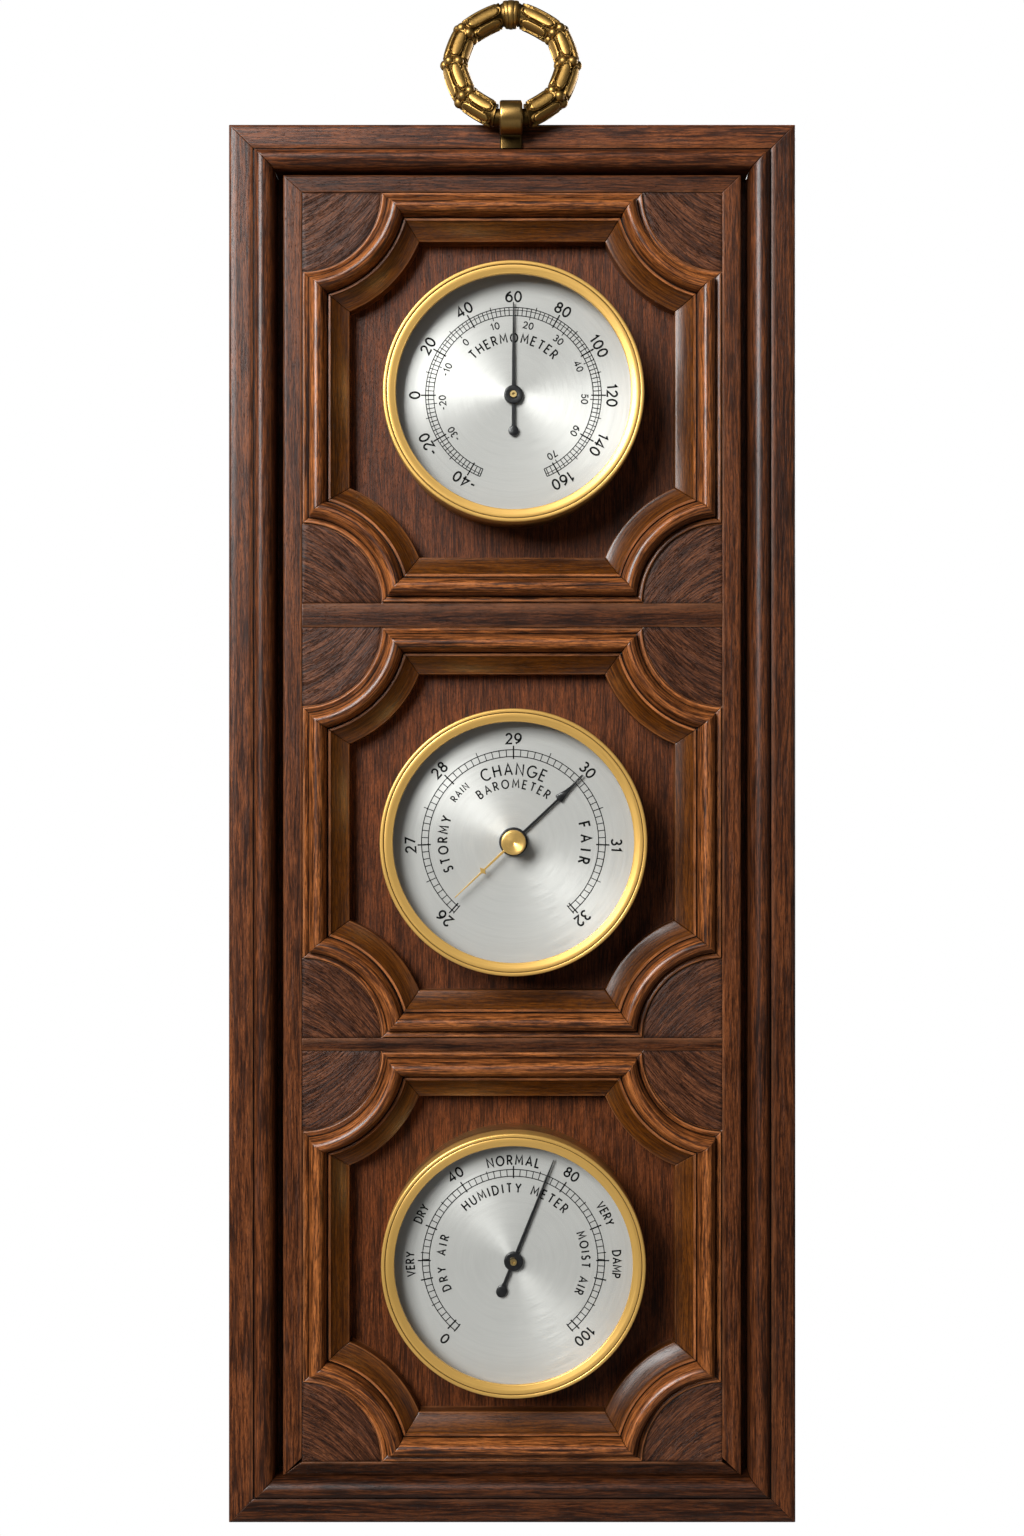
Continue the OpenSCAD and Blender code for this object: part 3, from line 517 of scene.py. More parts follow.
    def grain_vector(self, s: Shader) -> bpy.types.NodeSocket:
        """The place in the wood as (along the grain, across it, into the board), in metres."""
        if self.grain is Grain.ALONG_MAP:
            return s.node("UVMap", uv_map=GRAIN).outputs[0]
        split = s.node("SeparateXYZ")
        s.link(s.in_place(), split.inputs[0])
        turned_vector = s.node("CombineXYZ")
        for source, target in ((2, 0), (0, 1), (1, 2)):
            s.link(split.outputs[source], turned_vector.inputs[target])
        return turned_vector.outputs[0]


@dataclass(frozen=True)
class Metal:
    """Bright, satin or aged metal, with fine brushing or casting marks, and old patina and painted shade in
    its hollows.
    """

    name: str
    colour: Colour
    roughness: float
    patina: Colour = (0.018, 0.010, 0.003)
    spots: float = 0.0
    cloud: float = 0.5
    relief: float = 0.00002

    def make(self) -> bpy.types.Material:
        """Builds the material.

        Returns:
            A metal whose colour, roughness and bump vary over the piece.
        """
        s = Shader(self.name)
        place_on = s.in_place()
        cloud = s.noise(place_on, 120.0, 4.0, 0.6)
        speck = s.noise(place_on, 1500.0, 3.0, 0.6)
        colour = s.mix(s.span(cloud, 0.34, 0.66, (0.0, self.cloud)), self.colour, dimmed(self.colour, 0.62))
        colour = s.mix(s.span(speck, 0.50, 0.72, (0.0, self.spots)), colour, self.patina)
        # Old patina and painted shade: the hollow attribute darkens the colour towards the patina, as on the
        # strap's tail and the neck beside it.
        colour = s.mix(s.attribute(HOLLOW), colour, self.patina)
        uneven = s.span(cloud, 0.3, 0.7, (-0.1 * self.cloud, 0.2 * self.cloud))
        s.principled(
            Base_Color=colour,
            Metallic=1.0,
            Roughness=s.math("ADD", self.roughness, uneven, clamp=True),
            Normal=s.bump(speck, self.relief, 1.0),
        )
        return s.material


@dataclass(frozen=True)
class Brushed:
    """Metal brushed or turned round its centre: anisotropic, with fine rings in colour and bump.

    The map's first number runs round in turns and its second outwards in metres.
    """

    name: str
    colour: Colour
    roughness: float
    anisotropy: float
    metallic: float
    dull: float = 0.84
    coat: float = 0.0
    rings: float = 3400.0
    depth: float = 0.000003
    dirt: Colour = (0.03, 0.018, 0.006)

    def make(self) -> bpy.types.Material:
        """Builds the material.

        Returns:
            The brushed finish.
        """
        s = Shader(self.name)
        vector = s.node("UVMap", uv_map=GRAIN).outputs[0]
        rings = s.noise(vector, (14.0, self.rings, 1.0), 3.0, 0.7)
        broad = s.noise(vector, (3.0, self.rings / 6.0, 1.0), 2.0)
        dust = s.noise(s.in_place(), 60.0)
        tone = s.math("ADD", s.math("MULTIPLY", rings, 0.6), s.math("MULTIPLY", broad, 0.4))
        colour = s.mix(s.span(tone, 0.36, 0.62), dimmed(self.colour, self.dull), self.colour)
        colour = s.mix(s.span(dust, 0.5, 0.8, (0.0, 0.12)), colour, dimmed(self.colour, 0.7))
        # Old grime and painted shade: the hollow attribute darkens the bezel's fine groove.
        colour = s.mix(s.attribute(HOLLOW), colour, self.dirt)
        tangent = s.node("Tangent", direction_type="UV_MAP", uv_map=GRAIN)
        s.principled(
            Base_Color=colour,
            Metallic=self.metallic,
            Roughness=s.span(rings, 0.3, 0.7, (self.roughness - 0.05, self.roughness + 0.07)),
            Normal=s.bump(rings, self.depth, 1.0),
            Coat_Weight=self.coat,
            Coat_Roughness=0.12,
            Anisotropic=self.anisotropy,
            Anisotropic_Rotation=0.25,
            Tangent=tangent.outputs[0],
        )
        return s.material


@dataclass(frozen=True)
class Paint:
    """Satin paint or printing ink, a little uneven."""

    name: str
    colour: Colour
    roughness: float
    specular: float = 0.5

    def make(self) -> bpy.types.Material:
        """Builds the material.

        Returns:
            The paint.
        """
        s = Shader(self.name)
        cloud = s.noise(s.in_place(), 900.0)
        s.principled(
            Base_Color=s.mix(cloud, dimmed(self.colour, 0.7), dimmed(self.colour, 1.3)),
            Roughness=s.span(cloud, 0.3, 0.7, (self.roughness - 0.04, self.roughness + 0.06)),
            Specular_IOR_Level=self.specular,
        )
        return s.material


@dataclass(frozen=True)
class WindowGlass:
    """Thin clear glass: it lets light through straight and reflects a little more at a slant."""

    name: str

    def make(self) -> bpy.types.Material:
        """Builds the material.

        Returns:
            Clear glass that casts almost no shadow.
        """
        s = Shader(self.name)
        clear = s.node("BsdfTransparent")
        clear.inputs["Color"].default_value = (0.985, 0.99, 0.985, 1.0)
        gloss = s.node("BsdfGlossy")
        gloss.inputs["Roughness"].default_value = 0.04
        edge = s.node("Fresnel")
        edge.inputs["IOR"].default_value = 1.3
        outside = s.math("SUBTRACT", 1.0, s.node("NewGeometry").outputs["Backfacing"])
        s.either(s.math("MULTIPLY", edge.outputs[0], outside), clear, gloss)
        return s.material


class Finishes:
    """Every finish of the station, made once."""

    def __init__(self) -> None:
        """Makes the materials from their finishes."""
        worn = (0.42, 0.165, 0.068)
        frame = Walnut(
            "frame_walnut",
            (0.0180, 0.0056, 0.0024),
            (0.094, 0.0252, 0.0068),
            (0.232, 0.068, 0.0190),
            worn,
            soft=0.045,
            wear=0.25,
            scale=2.0,
            coat=0.22,
        )
        # Painted shade: the frame wood is darker on the left, darker still on the right and darkest at the
        # bottom, where less light falls.
        self.frame = {
            "top": frame.make(),
            "left": frame.toned("frame_walnut_left", 0.88).make(),
            "right": frame.toned("frame_walnut_right", 0.66).make(),
            "bottom": frame.toned("frame_walnut_bottom", 0.46).make(),
        }
        self.moulding = Walnut(
            "moulding_walnut",
            (0.0180, 0.0056, 0.0020),
            (0.200, 0.0570, 0.0130),
            (0.450, 0.148, 0.037),
            (0.58, 0.23, 0.088),
            roughness=0.33,
            coat=0.40,
            ash=0.12,
            wear=0.30,
            soft=0.045,
            scale=2.0,
        ).make()
        strips = Walnut(
            "field_walnut",
            (0.0160, 0.0050, 0.0020),
            (0.084, 0.0228, 0.0062),
            (0.200, 0.0600, 0.0175),
            worn,
            soft=0.07,
            wear=0.25,
            scale=2.4,
        )
        # Painted shade: the field wood is darker on the top rail, darker still on the cross rails and darkest
        # on the foot.
        self.field_wood = {
            "side": strips.make(),
            "rail": strips.toned("field_walnut_rail", 0.68).make(),
            "cross": strips.toned("field_walnut_cross", 0.52).make(),
            "foot": strips.toned("field_walnut_foot", 0.32).make(),
        }
        self.panel = Walnut(
            "panel_walnut",
            (0.0230, 0.0066, 0.0020),
            (0.088, 0.0228, 0.0054),
            (0.176, 0.048, 0.0125),
            worn,
            grain=Grain.UP_BOARD,
            roughness=0.42,
            coat=0.0,
            scale=3.2,
            soft=0.07,
            ash=0.12,
        ).make()
        self.spandrel = Walnut(
            "spandrel_walnut",
            (0.0220, 0.0080, 0.0042),
            (0.084, 0.0268, 0.0104),
            (0.182, 0.063, 0.0250),
            worn,
            relief=0.00026,
            roughness=0.42,
            pore=0.8,
            scale=2.2,
            soft=0.055,
            crack=0.6,
        ).make()
        cast = Metal("cast_brass", (0.45, 0.265, 0.075), 0.42, spots=0.4, cloud=0.45, relief=0.00003)
        self.cast_brass = cast.make()
        self.strap_brass = Metal("strap_brass", (0.52, 0.315, 0.100), 0.30, spots=0.15, cloud=0.3).make()
        self.bezel_brass = Brushed(
            "bezel_brass", (0.76, 0.455, 0.118), 0.37, 0.3, metallic=0.60, dull=0.93, coat=0.40
        ).make()
        self.case_brass = Metal("case_brass", (0.60, 0.38, 0.14), 0.36, spots=0.2).make()
        self.knob_brass = Brushed("knob_brass", (0.88, 0.56, 0.17), 0.34, 0.7, 0.7, depth=0.000004).make()
        self.movement_brass = Metal("movement_brass", (0.72, 0.52, 0.22), 0.35).make()
        self.steel = Metal("steel", (0.42, 0.42, 0.43), 0.35, spots=0.15).make()
        self.spring_steel = Metal("spring_steel", (0.32, 0.34, 0.40), 0.3).make()
        self.capsule = Metal("capsule_silver", (0.68, 0.68, 0.67), 0.3).make()
        self.coil_film = Paint("coil_film", (0.45, 0.33, 0.18), 0.5).make()
        self.dial = Brushed(
            "brushed_dial", (0.60, 0.593, 0.572), 0.34, 0.8, metallic=0.34, dull=0.93, depth=0.000006
        ).make()
        self.ink = Paint("dial_ink", (0.006, 0.006, 0.006), 0.7, 0.1).make()
        self.black = Paint("pointer_black", (0.010, 0.010, 0.011), 0.32).make()
        self.glass = WindowGlass("window_glass").make()


@dataclass
class Section:
    """A closed section of moulded wood, as (distance in from the outer line, height out from the wall).

    Its edges are worn, and its hollows get old stain and painted shade, within about the reach of their
    turns.
    """

    points: np.ndarray
    glazed_from: float = 1000.0
    reach: float = 0.32
    end_wear: float = 0.75

    def __post_init__(self) -> None:
        """Works out the inward normals, the wear, and the painted shade with old stain, from the section's
        turns.
        """
        p = self.points
        ahead, behind = np.roll(p, -1, axis=0) - p, p - np.roll(p, 1, axis=0)
        tangent = ahead / np.linalg.norm(ahead, axis=1)[:, None]
        tangent += behind / np.linalg.norm(behind, axis=1)[:, None]
        tangent /= np.maximum(np.linalg.norm(tangent, axis=1)[:, None], 1e-9)
        self.inward = np.stack([tangent[:, 1], -tangent[:, 0]], axis=1)
        turn = np.arctan2(
            behind[:, 0] * ahead[:, 1] - behind[:, 1] * ahead[:, 0], (behind * ahead).sum(axis=1)
        )
        self.along = lengths(p)
        apart = self.along[:, None] - self.along[None, :]
        weight = np.exp(-0.5 * (apart / self.reach) ** 2)
        density = -(weight * turn[None, :]).sum(axis=1) / (self.reach * math.sqrt(TAU))
        self.crest = smoothstep((density - 0.45) / 1.3)
        # Concave turns darken: old stain together with painted shade in the hollows.
        self.hollow = smoothstep((-density - 0.22) / 0.9)
        self.cove = smoothstep((p[:, 0] - self.glazed_from) / 0.4)

    @property
    def t(self) -> np.ndarray:
        """Distance in from the outer line, of each point."""
        return self.points[:, 0]

    def skin(self, mesh: Mesh, points: np.ndarray, along: np.ndarray, wear: np.ndarray, seed: float) -> None:
        """Adds the surface that the section sweeps, with its grain and wear, and closes its two ends.

        Args:
            mesh: The mesh that takes it.
            points: Section points by columns by three, in metres.
            along: How far along the grain each point lies, in millimetres.
            wear: Wear of each column.
            seed: Shifts the grain.
        """
        u = np.concatenate([along, along[:1]]) * MM + seed * GRAIN_SHIFT[0]
        v = np.append(self.along, self.along[-1] + 1.0)[:, None] * MM + seed * GRAIN_SHIFT[1]
        shades = {CREST: np.maximum(self.crest[:, None], self.end_wear * wear[None, :])}
        shades |= {HOLLOW: self.hollow[:, None], COVE: self.cove[:, None]}
        uv = np.stack(np.broadcast_arrays(u, v), axis=-1)
        index = mesh.grid(points, uv, closed=(True, False), **shades)
        mesh.close_ends(index[:, 0], index[:, -1])


GRAIN_SHIFT = (1.7, 0.31)
EASE_AT = np.array([0.0, 0.08, 0.22, 0.5])
EASE_RADIUS = 0.22
EDGE = 0.01


def eased_ends(total: np.ndarray, middle: int) -> tuple[np.ndarray, np.ndarray, np.ndarray]:
    """Columns along a run whose two end edges are softly rounded.

    The columns stand close together at each end, and the surface sinks there along a quarter circle.

    Args:
        total: Length of the run at each section point.
        middle: Columns between the eased ends.

    Returns:
        Distances from the start for each section point, how far each column sinks, and its wear.
    """
    inner = np.linspace(0.0, 1.0, middle + 2)[1:-1]
    low, high = EASE_AT[-1], total[:, None] - EASE_AT[-1]
    mid = low + (high - low) * inner[None, :]
    start = np.broadcast_to(EASE_AT, (len(total), len(EASE_AT)))
    end = total[:, None] - EASE_AT[::-1][None, :]
    near = np.clip(1.0 - EASE_AT / EASE_RADIUS, 0.0, 1.0)
    drop = EASE_RADIUS * (1.0 - np.sqrt(1.0 - near**2))
    sink = np.concatenate([drop, np.zeros(middle), drop[::-1]])
    wear = np.concatenate([near, np.zeros(middle), near[::-1]])
    return np.concatenate([start, mid, end], axis=1), sink, wear


@dataclass
class Side:
    """One side of a rectangle on the board: the line's middle, its direction and the way in."""

    middle: Point
    along: Point
    inward: Point
    half: float


def sides(left: float, right: float, bottom: float, top: float) -> dict[str, Side]:
    """The four sides of a rectangle, by name."""
    cx, cy = (left + right) / 2.0, (bottom + top) / 2.0
    wide, tall = (right - left) / 2.0, (top - bottom) / 2.0
    return {
        "top": Side((cx, top), (1.0, 0.0), (0.0, -1.0), wide),
        "bottom": Side((cx, bottom), (-1.0, 0.0), (0.0, 1.0), wide),
        "left": Side((left, cy), (0.0, 1.0), (1.0, 0.0), tall),
        "right": Side((right, cy), (0.0, -1.0), (-1.0, 0.0), tall),
    }


def member_name(group: str, key: str) -> str:
    """Node of a frame member on the named side: rails run across and stiles run up."""
    return f"{group}_{'rail' if key in ('top', 'bottom') else 'stile'}_{key}"


@dataclass
class Pocket:
    """A rectangular sinking in a member's back, centred on its length."""

    half: float
    near: float
    far: float
    depth: float

    def holds(self, t: np.ndarray, s: np.ndarray) -> np.ndarray:
        """Which points, at distances t in and s along, lie inside it."""
        return (np.abs(s) < self.half) & (t > self.near) & (t < self.far)


def straight_run(
    mesh: Mesh,
    section: Section,
    side: Side,
    start: np.ndarray,
    seed: float,
    pockets: Sequence[Pocket] = (),
) -> None:
    """Adds a straight moulded run between two shaped ends.

    Each point of the section starts and ends at its own distance in from the corners. A pocket adds a close
    pair of columns at each of its two ends, and every back point inside it stands at its depth.

    Args:
        mesh: The mesh that takes it.
        section: The closed section.
        side: The line that the section's outer edge follows.
        start: How far in from the corner each section point starts.
        seed: Shifts the grain.
        pockets: Sinkings in the back, the deepest last.
    """
    t, h = section.t, section.points[:, 1]
    columns, sink, wear = eased_ends(2.0 * side.half - 2.0 * start, 24)
    s = start[:, None] + columns - side.half
    for pocket in pockets:
        for stop in (-pocket.half - EDGE, -pocket.half + EDGE, pocket.half - EDGE, pocket.half + EDGE):
            at = int(np.searchsorted(s[0], stop))
            s, sink, wear = np.insert(s, at, stop, axis=1), np.insert(sink, at, 0.0), np.insert(wear, at, 0.0)
    inward = t[:, None] + section.inward[:, :1] * sink[None, :]
    out = h[:, None] + section.inward[:, 1:] * sink[None, :]
    for pocket in pockets:
        out = np.where(pocket.holds(t[:, None], s) & (h[:, None] < EDGE), pocket.depth, out)
    x = side.middle[0] + side.along[0] * s + side.inward[0] * inward
    up = side.middle[1] + side.along[1] * s + side.inward[1] * inward
    section.skin(mesh, place(x, up, out), s, wear, seed)


CORNERS = ((-1, -1), (1, -1), (1, 1), (-1, 1))


@dataclass
class Board:
    """The wooden board: outer frame, raised field, panel mouldings and spandrels."""

    finish: Finishes
    rail_w: float = 17.0
    band_h: float = 22.0
    band_w: float = 9.6
    bead_t: float = 12.8
    bead_h: float = 25.0
    field_h: float = 20.0
    panel_front: float = 10.0
    rabbet_w: float = 4.0
    mitre_gap: float = 0.04
    cell_x: float = 78.0
    cell_h: float = 152.5
    mould_w: float = 17.4
    mould_h: float = 26.0
    scoop_r: float = 29.3
    plate_pocket: Pocket = field(default_factory=lambda: Pocket(17.0, 1.0, 16.0, 1.5))
    key_pocket: Pocket = field(default_factory=lambda: Pocket(5.4, 1.05, 15.95, 6.0))

    def __post_init__(self) -> None:
        """Reads the board's edges and the cells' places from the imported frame."""
        low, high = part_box("outer_stile_left")
        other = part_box("outer_stile_right")[1]
        self.left, self.bottom, self.top = low.x / MM, low.z / MM, high.z / MM
        self.right = other.x / MM
        low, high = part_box("field_stile_left")
        self.field_left, self.field_right = low.x / MM, -low.x / MM
        self.field_bottom, self.field_top = low.z / MM, high.z / MM
        self.cells: dict[str, float] = {}
        for kind in GaugeKind:
            low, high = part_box(f"{kind.value}_straight_moulding")
            self.cells[kind.value] = (low.z + high.z) / 2.0 / MM

    def rail_section(self, rabbet: bool) -> Section:
        """Section of an outer member: eased arris, flat band, fine line, and a bead down to the field."""
        b, h, w = self.band_w, self.band_h, self.rail_w
        floor = self.field_h + 0.5
        step = w - self.rabbet_w
        rabbeted = [[w, self.panel_front], [step, self.panel_front], [step, 0.0], [9.0, 0.0], [4.0, 0.0]]
        ends = [self.plate_pocket.far, self.key_pocket.far, self.key_pocket.near, self.plate_pocket.near]
        pairs = [[end + side * EDGE, 0.0] for end in ends for side in (1.0, -1.0)]
        pocketed = [[w, 0.0], *pairs[:4], [8.5, 0.0], *pairs[4:]]
        points = chain(
            [[0.0, 0.0], [0.0, 6.0], [0.0, 14.0]],
            arc(1.7, h - 1.9, 1.7, 1.6, 180.0, 100.0, 8),
            [[1.75, h - 0.30], [1.85, h - 0.05], [2.1, h], [3.4, h], [5.2, h], [7.2, h]],
            [[b - 0.65, h], [b - 0.48, h - 0.1], [b - 0.4, h - 0.5], [b - 0.05, h - 0.5]],
            arc(self.bead_t, h - 0.4, self.bead_t - b - 0.05, self.bead_h - h + 0.4, 180.0, 90.0, 14),
            arc(self.bead_t, floor, w - self.bead_t, self.bead_h - floor, 86.0, 0.0, 14),
            [[w, 16.0]],
            rabbeted if rabbet else pocketed,
        )
        return Section(points)

    def mould_section(self) -> Section:
        """Section of the panel moulding: quirk, fillet, bead, groove, fillet, and a hollowed slope.

        The slope falls evenly by 4 mm, less a half wave of 0.4 mm, to a crisp foot.
        """
        h, m, w = self.field_h, self.mould_h, self.mould_w
        k = np.linspace(0.0, 1.0, 12)
        start, foot = 11.05, w - 0.65
        slope = np.stack([start + (foot - start) * k, h + 0.4 - 4.0 * k - 0.4 * np.sin(math.pi * k)], axis=1)
        points = chain(
            [[0.0, self.panel_front], [0.0, h - 0.5], [0.4, h - 0.5], [0.55, h + 0.4]],
            arc(0.9, h + 0.45, 0.35, 0.35, 180.0, 60.0, 4),
            [[1.35, h + 0.72], [2.0, h + 0.42], [2.55, h + 0.15]],
            arc(6.2, h + 0.2, 3.5, m - h - 0.2, 176.0, 90.0, 16),
            arc(6.2, h + 0.8, 3.1, m - h - 0.8, 86.0, 4.0, 16),
            [[9.45, h + 0.15], [9.75, h + 0.15], [9.85, h + 0.65]],
            arc(10.1, h + 0.65, 0.25, 0.25, 180.0, 90.0, 3),
            [[10.75, h + 0.9], [10.95, h + 0.55]],
            slope,
            arc(w - 0.45, h - 4.05, 0.4, 0.4, 72.0, 0.0, 4),
            [[w, h - 4.6], [w, h - 7.5], [w, self.panel_front]],
        )
        return Section(points, glazed_from=10.6)

    def member(
        self,
        name: str,
        section: Section,
        side: Side,
        start: np.ndarray,
        seed: float,
        wood: bpy.types.Material,
        pockets: Sequence[Pocket] = (),
    ) -> None:
        """Builds one straight member as a piece of its own.

        Args:
            name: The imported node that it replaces.
            section: Its section.
            side: The line that its outer edge follows.
            start: How far in from the corner each section point starts.
            seed: Shifts the grain.
            wood: Its finish.
            pockets: Sinkings in its back.
        """
        mesh = Mesh()
        straight_run(mesh, section, side, start, seed, pockets)
        fit(mesh, name, "dressed", wood, "station", "walnut")

    def outer_frame(self) -> None:
        """Builds the four mitred members. The top one is pocketed at the back for its keyhole plate."""
        around = sides(self.left, self.right, self.bottom, self.top)
        for number, (key, side) in enumerate(around.items()):
            name, section = member_name("outer", key), self.rail_section(rabbet=key != "top")
            pockets = (self.plate_pocket, self.key_pocket) if key == "top" else ()
            start, wood = section.t + self.mitre_gap, self.finish.frame[key]
            self.member(name, section, side, start, 1.0 + number, wood, pockets)

    def field_section(self, width: float, outer_eased: bool) -> Section:
        """Section of a flat field strip with eased edges, softer on the edge that faces the frame."""
        h, p, ease = self.field_h, self.panel_front, 0.3
        soft = arc(1.3, h - 0.9, 1.3, 0.9, 180.0, 90.0, 8)
        crisp = arc(ease, h - ease, ease, ease, 180.0, 90.0, 3)
        far = arc(width - ease, h - ease, ease, ease, 90.0, 0.0, 3)
        middle = [[width * 0.5, h], [width - 1.0, h]]
        return Section(chain([[0.0, p]], soft if outer_eased else crisp, middle, far, [[width, p]]))

    def raised_field(self) -> None:
        """Builds the raised field: two stiles, two mitred end rails and two cross rails."""
        cells = list(self.cells.values())
        tops = [z + self.cell_h / 2.0 for z in cells]
        lows = [z - self.cell_h / 2.0 for z in cells]
        side_w = self.field_right - self.cell_x
        around = sides(self.field_left, self.field_right, self.field_bottom, self.field_top)
        ends = {"top": self.field_top - tops[0], "bottom": lows[2] - self.field_bottom}
        woods = self.finish.field_wood
        for number, (key, side) in enumerate(around.items()):
            width = ends.get(key, side_w)
            slope = (side_w if key in ends else ends["top"]) / width
            section = self.field_section(width, True)
            wood = woods[{"top": "rail", "bottom": "foot"}.get(key, "side")]
            start = section.t * slope + 0.03
            self.member(member_name("field", key), section, side, start, 7.0 + number, wood)
        for number, name in enumerate(("cross_rail_upper", "cross_rail_lower")):
            high, low = lows[number], tops[number + 1]
            side = sides(-self.cell_x, self.cell_x, low, high)["top"]
            section = self.field_section(high - low, False)
            self.member(name, section, side, 0.0 * section.t + 0.02, 12.0 + number, woods["cross"])

    def mitre(self, t: np.ndarray) -> np.ndarray:
        """Where a straight run at distance t meets the scoop: the root of R squared plus twice R t."""
        return np.sqrt(self.scoop_r**2 + 2.0 * self.scoop_r * t)

    def mouldings(self) -> None:
        """Builds the straight and the scooped mouldings of the three cells."""
        section = self.mould_section()
        half = self.cell_h / 2.0
        for number, (gauge, z) in enumerate(self.cells.items()):
            around = sides(-self.cell_x, self.cell_x, z - half, z + half)
            straight, scooped = Mesh(), Mesh()
            for k, side in enumerate(around.values()):
                start = self.mitre(section.t) + self.mitre_gap
                straight_run(straight, section, side, start, 20.0 + 4 * number + k)
            for k, (sx, sy) in enumerate(CORNERS):
                corner = (sx * self.cell_x, z + sy * half)
                self.scoop(scooped, section, corner, (-sx, -sy), 40.0 + 4 * number + k)
            for mesh, form in ((straight, "straight"), (scooped, "scooped")):
                name = f"{gauge}_{form}_moulding"
                fit(mesh, name, "dressed", self.finish.moulding, "station", "walnut")

    def scoop(
        self, mesh: Mesh, section: Section, corner: Point, facing: tuple[int, int], seed: float
    ) -> None:
        """Adds one concave corner: the section runs round the cell's corner at radius R + t.

        Args:
            mesh: The mesh that takes it.
            section: The moulding's section.
            corner: The cell's corner.
            facing: Signs of the way into the cell.
            seed: Shifts the grain.
        """
        t, h = section.points[:, 0], section.points[:, 1]
        radius = self.scoop_r + t
        first = np.arctan2(t, self.mitre(t)) + self.mitre_gap / radius
        columns, sink, wear = eased_ends((math.pi / 2.0 - 2.0 * first) * radius, 40)
        angle = first[:, None] + columns / radius[:, None]
        r = radius[:, None] + section.inward[:, :1] * sink[None, :]
        out = h[:, None] + section.inward[:, 1:] * sink[None, :]
        x = corner[0] + facing[0] * r * np.cos(angle)
        up = corner[1] + facing[1] * r * np.sin(angle)
        section.skin(mesh, place(x, up, out), angle * self.scoop_r, wear, seed)

    def spandrels(self) -> None:
        """Builds the twelve quarter-round infills, with slanting figure and a softly sunk rim that is
        darkened by painted shade.
        """
        mesh = Mesh()
        size = self.scoop_r
        r = np.concatenate([[0.02], np.linspace(1.0, size - 0.6, 22), [size - 0.25, size - 0.05]])
        a = np.radians(np.linspace(0.0, 90.0, 33))
        px, py = r[:, None] * np.cos(a), r[:, None] * np.sin(a)
        edge = np.minimum(np.minimum(px, py), size - r[:, None])
        out = self.field_h - 0.2 - 0.25 * (1.0 - smoothstep(edge / 0.6))
        grain = np.stack([px - 0.6 * py, py + 0.35 * px + 0.018 * px**2], axis=-1) * MM
        for number, z in enumerate(self.cells.values()):
            for k, (sx, sy) in enumerate(CORNERS):
                x, up = sx * (self.cell_x - px), z + sy * (self.cell_h / 2.0 - py)
                uv = grain + np.array([3.0 * k, 0.7 * number + 0.09 * k])
                # Painted shade, with old stain, along the rim where the moulding meets the infill.
                front = mesh.grid(place(x, up, out), uv, hollow=0.8 * smoothstep(1.0 - edge / 0.35))
                back = mesh.grid(place(x, up, 0.0 * out + self.panel_front), uv)
                for top, foot in (
                    (front[:, 0], back[:, 0]),
                    (front[::-1, -1], back[::-1, -1]),
                    (front[-1], back[-1]),
                    (front[0, ::-1], back[0, ::-1]),
                ):
                    for quad in zip(top[:-1], top[1:], foot[1:], foot[:-1]):
                        mesh.cap(quad, (3.0 * k, 0.7 * number))
        fit(mesh, "corner_spandrels", "dressed", self.finish.spandrel, "station", "spandrel_walnut")

    def build(self) -> None:
        """Builds every wooden piece of the board."""
        self.outer_frame()
        self.raised_field()
        self.mouldings()
        self.spandrels()


def dress(piece: bpy.types.Object, body: str, slot: str, *nodes: str) -> None:
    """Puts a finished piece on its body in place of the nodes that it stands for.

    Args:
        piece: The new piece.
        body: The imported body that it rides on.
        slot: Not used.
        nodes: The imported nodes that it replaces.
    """
    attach(piece, body)
    if nodes:
        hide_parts(*nodes)
    LOG.info("%s: %d faces", piece.name, len(piece.data.polygons))


def fit(
    mesh: Mesh,
    node: str,
    form: str,
    material: bpy.types.Material,
    body: str,
    slot: str,
    sharp: float = 32.0,
) -> None:
    """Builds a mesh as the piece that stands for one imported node.

    Args:
        mesh: The finished mesh.
        node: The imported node.
        form: Second part of the piece's name, after the node's.
        material: Its finish.
        body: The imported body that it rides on.
        slot: The record's material slot.
        sharp: Edges that turn more than this many degrees stay crisp.
    """
    dress(mesh.build(f"{node}_{form}", material, sharp), body, slot, node)


